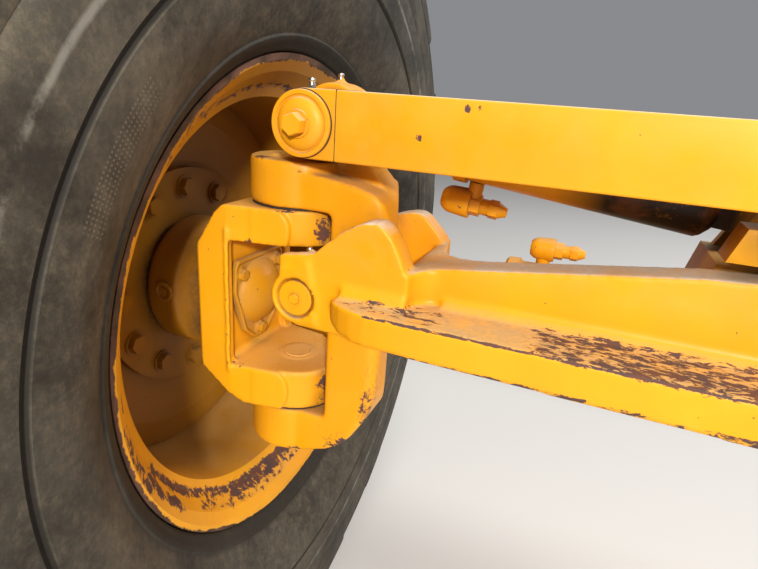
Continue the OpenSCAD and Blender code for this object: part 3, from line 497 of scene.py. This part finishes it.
MATS = {
    "casting": paint("yellow_casting"),
    "bracket": paint("yellow_bracket", zones=BRACKET_CHIPS, chips=0.45, scuffs=BRACKET_SCUFFS),
    # the knuckle's dust is lighter and yellower: dust, and painted light on the lower arm's top,
    # which the bracket shades
    "knuckle": paint("yellow_knuckle", zones=KNUCKLE_CHIPS, chips=0.35, dust_tint=DUST_AND_PAINTED_LIGHT,
                     dusty_zones=KNUCKLE_DUST),
    "beam": paint("yellow_beam", dust=0.5, top_dust=0.95, chips=0.45, zones=LEDGE_CHIPS,
                  patches=LEDGE_PATCHES, flakes=(0.7, 1.6, 1.6), pale_above=-0.005),
    "bar": paint("yellow_bar", dust=0.4, top_dust=0.9, chips=0.25, cast=False,
                 dust_tint=PALE_DUST, zones=BAR_CHIPS),
    "plate": paint("yellow_plate", dust=0.6, top_dust=0.7, chips=0.5, cast=False),
    "cylinder": paint("yellow_cylinder", dust=0.5, top_dust=0.6, chips=0.4, cast=False,
                      dark_zones=CYLINDER_STAIN),
    "tower": paint("yellow_tower", dust=0.6, top_dust=0.8, chips=0.6, grime=0.9, tone=0.8,
                   dark_zones=TOWER_STAIN),
    # deep, on rim and wheel: grime and painted shade inside the wheel, painted shade overhead, and
    # a bare lip
    "rim": paint("yellow_rim", dust=0.7, top_dust=0.3, chips=0.6, grime=0.7, tone=0.88,
                 zones=RIM_CHIPS, rings=RIM_RINGS, deep=True),
    "wheel": paint("yellow_wheel", dust=0.3, top_dust=0.3, chips=0.3, grime=0.9, deep=True),
    # tone 0.68 darkens the cover's paint: painted shade, for the weaker light on its inboard face
    "cover": paint("yellow_cover", dust=1.0, top_dust=0.8, chips=0.3, grime=0.5, tone=0.68,
                   dusty_zones=COVER_DUST),
    "tyre": rubber("tyre_rubber"),
    "rod": steel("rod_steel", 0.2, 0.25, grease=0.3),
    "dark": steel("dark_steel", 0.5, 0.6, base=(0.10, 0.09, 0.08), grease=0.6),
    "grime": steel("packed_grime", 0.8, 0.3, base=(0.022, 0.015, 0.010), metallic=0.0,
                   grease=0.4),
    "greasy": steel("greasy_rod", 0.35, 0.8, base=(0.16, 0.12, 0.10), metallic=0.8, grease=0.8),
    "bronze": steel("bush_bronze", 0.35, 0.3, base=(0.45, 0.28, 0.12)),
    "fitting": steel("zinc_fitting", 0.30, 0.25, base=(0.60, 0.58, 0.52)),
}

# The material of each node, without the side in its name. All others are plain castings.
BY_NODE = {
    "axle_beam": "beam", "axle_fork": "beam", "lean_tower": "tower", "pivot_bushing": "bronze",
    "lean_anchor_pin": "dark", "steer_anchor_pins": "dark", "kingpins": "dark",
    "lean_bracket": "bracket", "knuckle": "knuckle", "bearing_cover": "cover", "rim": "rim",
    "tyre": "tyre", "wheel_hub": "wheel", "spindle_housing": "wheel", "lean_bar": "bar",
    "lean_bar_pin": "bar", "lean_cylinder_rod": "greasy", "lean_cylinder_barrel": "cylinder",
    "steer_rod": "rod", "tie_ball": "dark", "tie_rod": "plate",
}


def material_for(node):
    plain = node.removesuffix("_right").removesuffix("_left")
    return MATS[BY_NODE.get(plain, "casting")]


for name, obj in NODES.items():
    for slot in obj.material_slots:
        slot.material = material_for(name)


# Meshes and pieces
def body(node):
    for name, nodes in BODIES.items():
        if node in nodes:
            return name
    raise KeyError(node)


def add_object(mesh, name, material, body_name):
    """A new piece with one material, which moves with its body."""
    piece = bpy.data.objects.new(name, mesh)
    bpy.context.collection.objects.link(piece)
    mesh.materials.clear()
    mesh.materials.append(material)
    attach(piece, body_name)
    return piece


def to_mesh(bm, name, outward=False):
    """The bmesh as a mesh, with its faces turned outward if asked for."""
    if outward:
        bmesh.ops.recalc_face_normals(bm, faces=bm.faces)
    mesh = bpy.data.meshes.new(name)
    bm.to_mesh(mesh)
    bm.free()
    return mesh


def bridge(bm, rows, closed=True):
    """Quads between rows of corners. In a closed row the last corner meets the first."""
    count = len(rows[0])
    for low, high in zip(rows, rows[1:]):
        for i in range(count if closed else count - 1):
            k = (i + 1) % count
            bm.faces.new((low[i], low[k], high[k], high[i]))


def join(name, meshes):
    """Meshes put together in one, without a union."""
    bm = bmesh.new()
    for mesh in meshes:
        bm.from_mesh(mesh)
        bpy.data.meshes.remove(mesh)
    return to_mesh(bm, name)


def moved(mesh, place, turn=None):
    mesh.transform(Matrix.Translation(place) @ (turn or Matrix()))
    return mesh


def sharpen(piece, angle):
    """Smooth shading that keeps hard edges, in the mesh itself."""
    limit = math.radians(angle)
    bm = bmesh.new()
    bm.from_mesh(piece.data)
    for edge in bm.edges:
        edge.smooth = len(edge.link_faces) == 2 and edge.calc_face_angle(0) < limit
    for face in bm.faces:
        face.smooth = True
    bm.to_mesh(piece.data)
    bm.free()


def evaluated_mesh(obj):
    """A new mesh of the object with its modifiers in it."""
    deps = bpy.context.evaluated_depsgraph_get()
    deps.update()
    return bpy.data.meshes.new_from_object(obj.evaluated_get(deps))


def bake(piece, *modifiers):
    """Puts modifiers into the piece's mesh."""
    for kind, settings in modifiers:
        modifier = piece.modifiers.new(kind.lower(), kind)
        for key, value in settings.items():
            setattr(modifier, key, value)
    mesh = evaluated_mesh(piece)
    old = piece.data
    piece.modifiers.clear()
    piece.data = mesh
    bpy.data.meshes.remove(old)


def united(nodes):
    """The meshes of CAD nodes, united into one solid."""
    if len(nodes) == 1:
        return NODES[nodes[0]].data.copy()
    parts = []
    for node in nodes:
        part = bpy.data.objects.new(node + "_part", NODES[node].data.copy())
        bpy.context.collection.objects.link(part)
        parts.append(part)
    for part in parts[1:]:
        modifier = parts[0].modifiers.new("unite", "BOOLEAN")
        modifier.operation = "UNION"
        modifier.solver = "EXACT"
        modifier.object = part
    mesh = evaluated_mesh(parts[0])
    for part in parts:
        old = part.data
        bpy.data.objects.remove(part)
        bpy.data.meshes.remove(old)
    return mesh


def cast_copy(nodes, name, voxel, rounds, extra=(), keep=1.0):
    """CAD nodes and extra forms as one piece with the soft corners of a casting.
    Rounds of smoothing set how soft, and keep is the share of triangles that stays."""
    mesh = join(name, [united(nodes), *extra])
    piece = add_object(mesh, name, material_for(nodes[0]), body(nodes[0]))
    bake(piece,
         ("REMESH", dict(mode="VOXEL", voxel_size=voxel, use_smooth_shade=True)),
         ("SMOOTH", dict(factor=0.5, iterations=rounds)))
    if keep < 1.0:
        bake(piece, ("DECIMATE", dict(ratio=keep)))
    for face in piece.data.polygons:
        face.use_smooth = True
    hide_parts(*nodes)


def bevel_copy(node, name, width):
    """A CAD node with its hard edges rounded."""
    piece = add_object(NODES[node].data.copy(), name, material_for(node), body(node))
    bake(piece,
         ("WELD", dict(merge_threshold=1e-6)),
         ("BEVEL", dict(width=width, segments=3, limit_method="ANGLE",
                        angle_limit=math.radians(32), use_clamp_overlap=True,
                        harden_normals=False)))
    sharpen(piece, 40)
    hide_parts(node)


def small_piece(name, meshes, material, body_name, hard=True):
    """Meshes joined into one named piece. If hard, its edges over 30 degrees stay sharp."""
    piece = add_object(join(name, meshes), name, MATS[material], body_name)
    if hard:
        sharpen(piece, 30)
    return piece


def lathe(profile, turns, axis, name="lathe"):
    """A profile of (radius, along) turned round an axis, capped unless it ends at its start."""
    bm = bmesh.new()
    rings = []
    for radius, along in profile:
        ring = []
        for i in range(turns):
            angle = TAU * i / turns
            u, v = radius * math.cos(angle), radius * math.sin(angle)
            corner = {"X": (along, u, v), "Y": (u, along, v), "Z": (u, v, along)}[axis]
            ring.append(bm.verts.new(corner))
        rings.append(ring)
    bridge(bm, rings)
    if profile[0] != profile[-1]:
        for ring in (rings[0], rings[-1]):
            bm.faces.new(ring)
    bmesh.ops.remove_doubles(bm, verts=bm.verts, dist=1e-6)
    mesh = to_mesh(bm, name, outward=True)
    for face in mesh.polygons:
        face.use_smooth = True
    return mesh


def washer(inner, outer, start, stop, axis, place, turns=64):
    profile = [(inner, start), (inner, stop), (outer, stop), (outer, start), (inner, start)]
    return moved(lathe(profile, turns, axis, "ring"), place)


def disc(radius, start, stop, axis, place, edge=0.0006):
    """A disc whose face at stop has a chamfer."""
    inset = edge if stop > start else -edge
    profile = [(0.0, start), (radius, start), (radius, stop - inset), (radius - edge, stop),
               (0.0, stop)]
    return moved(lathe(profile, 64, axis, "disc"), place)


def hexagon(across, high, chamfer=0.0015):
    """A hexagon head along +Z, its top corners turned down."""
    bm = bmesh.new()
    corner = across / 2 / math.cos(math.radians(30))
    rings = []
    for radius, z in ((corner, 0), (corner, high - chamfer), (corner * 0.93, high),
                      (corner * 0.90, high)):
        rings.append([bm.verts.new((radius * math.cos(TAU * i / 6),
                                    radius * math.sin(TAU * i / 6), z)) for i in range(6)])
    bridge(bm, rings)
    bm.faces.new(rings[-1])
    bm.faces.new(list(reversed(rings[0])))
    return to_mesh(bm, "hex")


def tube(points, thick):
    """A round bead along points, thinner at its ends."""
    bm = bmesh.new()
    sides = 12
    rings = []
    outward = None
    for i, point in enumerate(points):
        before, after = points[max(i - 1, 0)], points[min(i + 1, len(points) - 1)]
        way = (Vector(after) - Vector(before)).normalized()
        outward = way.orthogonal() if outward is None else outward - outward.project(way)
        outward.normalize()
        across = way.cross(outward)
        radius = thick * (0.35 if i in (0, len(points) - 1) else 1.0)
        ring = []
        for k in range(sides):
            angle = TAU * k / sides
            spoke = outward * math.cos(angle) + across * math.sin(angle)
            ring.append(bm.verts.new(Vector(point) + radius * spoke))
        rings.append(ring)
    bridge(bm, rings)
    bm.faces.new(rings[0])
    bm.faces.new(rings[-1])
    return to_mesh(bm, "tube", outward=True)


def stadium(reach, radius):
    """Points (x, z) of a bar with round ends, their middles at -reach and +reach."""
    steps = 32
    points = []
    for side in (1, -1):
        for i in range(steps + 1):
            angle = math.pi * (i / steps - 0.5)
            points.append((side * (reach + radius * math.cos(angle)),
                           side * radius * math.sin(angle)))
    return points


def bar_plate(reach, radius, z, front, back):
    """The lean bar: a flat bar with round ends and rounded edges."""
    edge = 0.0026
    steps = [(1 - math.cos(math.radians(a)), 1 - math.sin(math.radians(a)))
             for a in (0, 22.5, 45, 67.5, 90)]
    profile = [(edge * inset, front + edge * deep) for deep, inset in steps]
    profile += [(edge * inset, back - edge * deep) for deep, inset in reversed(steps)]
    bm = bmesh.new()
    rings = []
    for inset, y in profile:
        outline = stadium(reach, radius - inset)
        rings.append([bm.verts.new((px, y, z + pz)) for px, pz in outline])
    bridge(bm, rings)
    bm.faces.new(rings[0])
    bm.faces.new(rings[-1])
    return to_mesh(bm, "lean_bar_plate", outward=True)


def prism(side, points, front, back):
    """Points (x, z) of a wheel end given depth, from Y = front(x) to Y = back."""
    bm = bmesh.new()
    rows = [[bm.verts.new(end(side, x, front(x), z)) for x, z in points],
            [bm.verts.new(end(side, x, back, z)) for x, z in points]]
    bridge(bm, rows)
    bm.faces.new(rows[0])
    bm.faces.new(rows[1])
    return to_mesh(bm, "prism", outward=True)


# Forms blended into the castings
EAR_FRONT = -0.102
PAD_OUTLINE = [
    (0.0265, 0.056), (0.0265, 0.084), (0.0475, 0.0875), (0.066, 0.099), (0.0705, 0.100),
    (0.0780, 0.070), (0.0820, 0.044), (0.0840, 0.020), (0.0845, 0.0075), (0.056, 0.0085)]


def pad_reach(angle):
    """How far the pad's outline is from its pin at an angle, and at least 35 mm."""
    dx, dz = math.cos(angle), math.sin(angle)
    reach = 0.0350
    for (ax, az), (bx, bz) in zip(PAD_OUTLINE, PAD_OUTLINE[1:] + PAD_OUTLINE[:1]):
        ex, ez = bx - ax, bz - az
        det = dx * ez - dz * ex
        if abs(det) < 1e-9:
            continue
        distance = ((ax - PIN_X) * ez - (az - LEAN_PIN_Z) * ex) / det
        share = ((ax - PIN_X) * dz - (az - LEAN_PIN_Z) * dx) / det
        if 0 <= share <= 1 and distance > reach:
            reach = distance
    return reach


def eye_pad(side):
    """The raised plate of a front ear round its pin, sloping down to the hump beside it."""
    turns, hole = 96, 0.0272
    top, foot, buried = EAR_FRONT - 0.0030, EAR_FRONT - 0.0002, EAR_FRONT + 0.004
    sections = []
    for i in range(turns):
        angle = TAU * i / turns
        reach = pad_reach(angle)
        slope = 0.007 if abs(angle) < 1.2 or angle > TAU - 1.2 else 0.002
        sections.append([(angle, hole, buried), (angle, hole, top), (angle, reach - slope, top),
                         (angle, reach, foot), (angle, reach, buried)])
    bm = bmesh.new()
    rows = []
    for corners in zip(*sections):
        row = []
        for angle, radius, y in corners:
            x, z = PIN_X + radius * math.cos(angle), LEAN_PIN_Z + radius * math.sin(angle)
            row.append(bm.verts.new(end(side, x, y, z)))
        rows.append(row)
    bridge(bm, rows + rows[:1])
    return to_mesh(bm, "pad", outward=True)


def tongues(side):
    """The thicker parts of the knuckle arms that end in a rounded step on their bosses."""
    def front(x):
        return -0.0762 + 0.186 * (x - 0.006)

    upper = [(-0.030, 0.1000), (-0.030, KNUCKLE_TOP), (0.004, KNUCKLE_TOP), (0.012, 0.1440),
             (0.0185, 0.1370), (0.0225, 0.1270), (0.0225, 0.1150), (0.0205, 0.1040),
             (0.0190, 0.1000)]
    lower = [(-0.030, -KNUCKLE_TOP), (-0.030, -0.0900), (0.010, -0.0900), (0.016, -0.0960),
             (0.0205, -0.1050), (0.0225, -0.1180), (0.0205, -0.1330), (0.0150, -0.1440),
             (0.0120, -KNUCKLE_TOP)]
    return [prism(side, points, front, -0.055) for points in (upper, lower)]


def seam_bead(side):
    """The uneven bead down the front edge of the knuckle's web."""
    chance = random.Random(7)
    points = []
    for k in range(27):
        x = -0.0655 + chance.uniform(-0.0007, 0.0007)
        y = -0.0878 + chance.uniform(-0.0006, 0.0006)
        points.append(end(side, x, y, -0.100 + 0.0085 * k))
    return tube(points, 0.0030)


# Cast and bevelled pieces of each wheel end, the beam and the lean bar
CASTINGS = {        # voxel size, rounds of smoothing, share of triangles kept
    "lean_bracket": (0.0030, 14, 1.0),
    "knuckle": (0.0022, 5, 0.65),
    "bearing_cover": (0.0014, 4, 1.0),
    "spindle_housing": (0.0040, 5, 1.0),
    "steering_arm": (0.0030, 5, 1.0),
}
for side in SIDES:
    for node, (voxel, rounds, keep) in CASTINGS.items():
        extra = [seam_bead(side), *tongues(side)] if node == "knuckle" else []
        cast_copy([f"{node}_{side}"], f"{node}_{side}_cast", voxel, rounds, extra, keep)
cast_copy(["axle_beam", "axle_fork_right", "axle_fork_left"], "axle_beam_cast", 0.0030, 6,
          [eye_pad(side) for side in SIDES], 0.46)
bevel_copy("lean_tower", "lean_tower_weld", 0.002)
bar_mesh = bar_plate(KINGPIN_X - PIN_X, BAR_HALF_HEIGHT, BAR_PIN_Z - RISE, BAR_FRONT, BAR_BACK)
bar = add_object(bar_mesh, "lean_bar_plate", MATS["bar"], "lean_bar")
sharpen(bar, 50)
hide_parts("lean_bar")
bevel_copy("lean_cylinder_port", "lean_cylinder_port_fine", 0.0010)
for side in SIDES:
    bevel_copy(f"steer_port_{side}", f"steer_port_{side}_fine", 0.0009)


# Tyres: a sidewall with its rings, and tread bars with worn corners
TYRE_R = 0.685
TYRE_HALF = 0.1875
TYRE_X = -0.152             # the tyre's middle, in the frame of the wheel end
TREAD_FLOOR = 0.655
SIDEWALL = [                # radius, distance from the tyre's middle
    (0.3035, 0.069), (0.321, 0.099), (0.3300, 0.125), (0.3425, 0.1290), (0.3430, 0.1395),
    (0.3470, 0.1440), (0.3530, 0.1475), (0.3560, 0.1520), (0.3610, 0.1540), (0.3640, 0.1530),
    (0.3690, 0.1560), (0.3790, 0.1630), (0.3930, 0.1710), (0.4080, 0.1772), (0.4250, 0.1815),
    (0.4420, 0.1840), (0.4535, 0.1851), (0.4552, 0.1828), (0.4585, 0.1812), (0.4620, 0.1828),
    (0.4638, 0.1857), (0.4800, 0.1868), (0.5000, 0.1873), (0.5200, 0.1870), (0.5330, 0.1862),
    (0.5350, 0.1848), (0.5370, 0.1858), (0.5600, 0.1838), (0.5800, 0.1812), (0.5950, 0.1786),
    (0.5975, 0.1765), (0.6020, 0.1762), (0.6045, 0.1774), (0.6180, 0.1720), (0.6330, 0.1630),
    (0.6440, 0.1560), (0.6510, 0.1500), (0.6560, 0.1400), (0.6585, 0.1270), (0.6600, 0.0900),
    (0.6608, 0.0450), (0.6610, 0.0)]
TREAD_BARS = 18             # on each half of the tread
TREAD_SHARE = 0.42          # of the pitch that a bar covers
TREAD_SLANT = math.radians(28)
TREAD_TOP = [               # distance from the tyre's middle, radius of the bar's top
    (-0.010, 0.6850), (0.02, 0.6849), (0.055, 0.6846), (0.09, 0.6840), (0.1275, 0.6828),
    (0.146, 0.6795), (0.1560, 0.6720), (0.1625, 0.6600), (0.1640, 0.6450), (0.1610, 0.6260)]
TREAD_SECTION = [           # share of the half width, depth below the top
    (-0.97, 0.006), (-0.90, 0.0008), (-0.5, 0.0), (0.0, 0.0), (0.5, 0.0), (0.90, 0.0008),
    (0.97, 0.006)]


def tread_bar(bm, centre, flip):
    """One slanted bar of the tread, from past the middle to the shoulder."""
    half_width = TAU * TYRE_R / TREAD_BARS * TREAD_SHARE / 2 / math.cos(TREAD_SLANT)
    rows = []
    for k, (away, top) in enumerate(TREAD_TOP):
        middle = centre - math.tan(TREAD_SLANT) * (away - TYRE_HALF / 2) / TYRE_R
        foot = min(top - 0.004, TREAD_FLOOR) if away < 0.15 else top - 0.016
        shrink = 0.004 if k in (0, len(TREAD_TOP) - 1) else 0.0
        section = [(share, top - deep) for share, deep in TREAD_SECTION]
        row = []
        for share, radius in [(-1.0, foot), *section, (1.0, foot)]:
            angle = middle + share * (half_width - shrink) / TYRE_R
            corner = (-away * flip, radius * math.sin(angle), radius * math.cos(angle))
            row.append(bm.verts.new(corner))
        rows.append(row)
    bridge(bm, rows, closed=False)
    bm.faces.new(rows[0])
    bm.faces.new(list(reversed(rows[-1])))


def tyre_mesh(name):
    """The right tyre round the origin."""
    outline = [(radius, -away) for radius, away in SIDEWALL]
    outline += [(radius, away) for radius, away in reversed(SIDEWALL[:-1])]
    outline.append(outline[0])
    wall = lathe(outline, 192, "X", name)
    bm = bmesh.new()
    bm.from_mesh(wall)
    bpy.data.meshes.remove(wall)
    for i in range(TREAD_BARS):
        tread_bar(bm, TAU * i / TREAD_BARS, 1)
        tread_bar(bm, TAU * (i + 0.5) / TREAD_BARS, -1)
    return to_mesh(bm, name, outward=True)


for side in SIDES:
    name = f"tyre_{side}_rubber"
    mesh = tyre_mesh(name)
    if side == "left":
        mesh.transform(Matrix.Scale(-1, 4, (1, 0, 0)))
        mesh.flip_normals()
    tyre = add_object(moved(mesh, end(side, TYRE_X, 0, 0)), name, MATS["tyre"], "wheel_" + side)
    sharpen(tyre, 40)
    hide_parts("tyre_" + side)


# Pins of the lean bar: domed covers with a groove, and a hexagon head
COVER_PROFILE = [           # radius, height over the bar's front
    (0.022, 0.0), (0.0382, 0.0), (0.0387, 0.0018), (0.0385, 0.0040), (0.0376, 0.005),
    (0.0335, 0.0052), (0.0322, 0.0036), (0.0308, 0.0034), (0.0296, 0.0052), (0.0275, 0.0075),
    (0.0235, 0.0094), (0.0190, 0.0104), (0.0165, 0.0106), (0.0160, 0.0126), (0.0, 0.0126)]


def cover_pin(side):
    rear = 0.054 if side == "right" else 0.040
    profile = [(0.0, rear), (0.020, rear), (0.022, rear - 0.002)]
    profile += [(radius, BAR_FRONT - high) for radius, high in COVER_PROFILE]
    domed = lathe(profile, 96, "Y")
    head = moved(hexagon(0.0235, 0.014), (0, BAR_FRONT - 0.0120, 0),
                 FRONT @ Matrix.Rotation(0.35, 4, "Z"))
    return [moved(mesh, end(side, PIN_X, 0, BAR_PIN_Z)) for mesh in (domed, head)]


for side in SIDES:
    cover = small_piece(f"lean_bar_pin_{side}_cover", cover_pin(side), "bar", "lean_bar")
    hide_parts("lean_bar_pin_" + side)


# Small pieces: lean pin faces, packed dirt in joints, caps, plugs and grease nipples
def lean_pin_face(side):
    pin = end(side, PIN_X, 0, LEAN_PIN_Z)
    shaft = disc(0.021, 0.098, -0.0960, "Y", pin)
    face = disc(0.0236, -0.0945, -0.1028, "Y", pin, 0.0012)
    dish = washer(0.0085, 0.0102, -0.1024, -0.1034, "Y", pin)
    head = moved(hexagon(0.0125, 0.0044, 0.001), end(side, PIN_X, -0.1020, LEAN_PIN_Z),
                 FRONT @ Matrix.Rotation(0.5, 4, "Z"))
    return [shaft, face, dish, head]


def housing_plug(side):
    place = end(side, -0.166, -0.0990, 0.0095)
    cap = lathe([(0.0, 0.0), (0.0150, 0.0), (0.0150, 0.0025), (0.0135, 0.0035),
                 (0.0105, 0.0035), (0.0095, 0.0015), (0.0, 0.0015)], 48, "Z", "plug")
    return [moved(mesh, place, FRONT) for mesh in (cap, hexagon(0.0110, 0.0030, 0.0008))]


def nipple(place, turn=None):
    """A grease nipple: hexagon, neck and ball."""
    neck = lathe([(0.0, 0.001), (0.0040, 0.001), (0.0040, 0.0045), (0.0036, 0.0055),
                  (0.0036, 0.0068), (0.0046, 0.0082), (0.0047, 0.0096), (0.0034, 0.0112),
                  (0.0, 0.0117)], 24, "Z", "nipple")
    foot = moved(hexagon(0.0095, 0.0085, 0.0010), (0, 0, -0.005))
    return moved(join("nipple", [foot, neck]), place, turn)


for side, sign in SIDES.items():
    kingpin = end(side, 0, 0, 0)
    knuckle = body("knuckle_" + side)
    face = small_piece(f"lean_pin_{side}_face", lean_pin_face(side), "casting", "beam")
    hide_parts("lean_pin_" + side)
    packed = washer(0.0205, 0.0285, -0.0930, -0.0968, "Y", end(side, PIN_X, 0, LEAN_PIN_Z))
    small_piece(f"lean_pin_{side}_grime", [packed], "grime", "beam", hard=False)
    joints = [washer(0.050, 0.0676, KNUCKLE_TOP, 0.1502, "Z", kingpin),
              washer(0.050, 0.0676, -0.1502, -KNUCKLE_TOP, "Z", kingpin),
              washer(0.0215, 0.0225, -0.0900, -0.0866, "Z", kingpin)]
    small_piece(f"kingpin_{side}_grime", joints, "grime", knuckle, hard=False)
    cap = disc(0.0216, -0.0900, -0.0853, "Z", kingpin, 0.0010)
    small_piece(f"kingpin_{side}_cap", [cap], "knuckle", knuckle)
    small_piece(f"housing_{side}_plug", housing_plug(side), "wheel", knuckle)
    tilt = Matrix.Rotation(sign * math.radians(38), 4, "Y")
    tilted = nipple(end(side, 0.062, -0.077, 0.098), tilt)
    small_piece(f"ear_{side}_fitting", [tilted], "fitting", "beam")
    upright = nipple(end(side, PIN_X, 0.008, 0.3090))
    small_piece(f"neck_{side}_fitting", [upright], "fitting", body("lean_bracket_" + side))


# Small pieces on the lean bar: nipples, packed dirt round the covers, and weld seams
def bar_seam(x):
    """A hairline weld seam round the lean bar."""
    lift, half = 0.00035, 0.0004
    middle = BAR_PIN_Z - RISE
    front, back = BAR_FRONT - lift, BAR_BACK + lift
    low, high = middle - BAR_HALF_HEIGHT - lift, middle + BAR_HALF_HEIGHT + lift
    corners = ((front, low), (back, low), (back, high), (front, high))
    bm = bmesh.new()
    rows = [[bm.verts.new((x + dx, y, z)) for y, z in corners] for dx in (-half, half)]
    bridge(bm, rows)
    bm.faces.new(list(reversed(rows[0])))
    bm.faces.new(rows[1])
    return to_mesh(bm, "seam")


for side in SIDES:
    upright = nipple(end(side, PIN_X, -0.070, 0.3000))
    small_piece(f"bar_end_{side}_fitting", [upright], "fitting", "lean_bar")
    packed = washer(0.0380, 0.0397, -0.0920, -0.0934, "Y", end(side, PIN_X, 0, BAR_PIN_Z), 96)
    small_piece(f"cover_{side}_grime", [packed], "grime", "lean_bar", hard=False)
seams = [bar_seam(sign * (KINGPIN_X - 0.0935)) for sign in SIDES.values()]
small_piece("lean_bar_seams", seams, "grime", "lean_bar", hard=False)


# Floor and light
FLOOR_HALF = 30
FLOOR_COLOUR = (0.62, 0.61, 0.59)
SKY_COLOUR = (0.93, 0.95, 1.0, 1)
SKY_STRENGTH = 0.27
LIGHTS = [      # name, place, target, size, power, colour
    ("key", (1.14, -3.86, 1.72), (-0.7, 0, 0), 0.45, 268, (1.0, 0.96, 0.90)),
    ("fill", (-4.0, -2.2, 1.6), (-0.7, 0, 0), 3.0, 25, (0.92, 0.96, 1.0)),
    ("back", (2.5, 4.0, 3.0), (0, 0, 0), 3.0, 160, (1, 1, 1)),
    ("top", (0.1, -0.6, 3.6), (-0.2, -0.1, 0), 2.0, 100, (1.0, 0.97, 0.92)),
]

floor_mesh = bpy.data.meshes.new("floor")
floor_corners = [(x * FLOOR_HALF, y * FLOOR_HALF, 0)
                 for x, y in ((-1, -1), (1, -1), (1, 1), (-1, 1))]
floor_mesh.from_pydata(floor_corners, [], [(0, 1, 2, 3)])
floor = bpy.data.objects.new("floor", floor_mesh)
floor.location.z = cad_box[0][2] - 0.001
bpy.context.collection.objects.link(floor)
floor_mat = Mat("floor")
floor_mat.put(floor_mat.bsdf.inputs["Base Color"], FLOOR_COLOUR)
floor_mat.put(floor_mat.bsdf.inputs["Roughness"], 0.9)
floor_mesh.materials.append(floor_mat.material)

world = bpy.data.worlds.new("studio")
world.use_nodes = True
background = world.node_tree.nodes["Background"]
background.inputs[0].default_value = SKY_COLOUR
background.inputs[1].default_value = SKY_STRENGTH
bpy.context.scene.world = world

for name, place, target, size, power, colour in LIGHTS:
    light = bpy.data.lights.new(name, "AREA")
    light.shape = "DISK"
    light.size = size
    light.energy = power
    light.color = colour
    lamp = bpy.data.objects.new(name, light)
    bpy.context.collection.objects.link(lamp)
    lamp.location = place
    lamp.rotation_euler = (Vector(target) - Vector(place)).to_track_quat("-Z", "Y").to_euler()
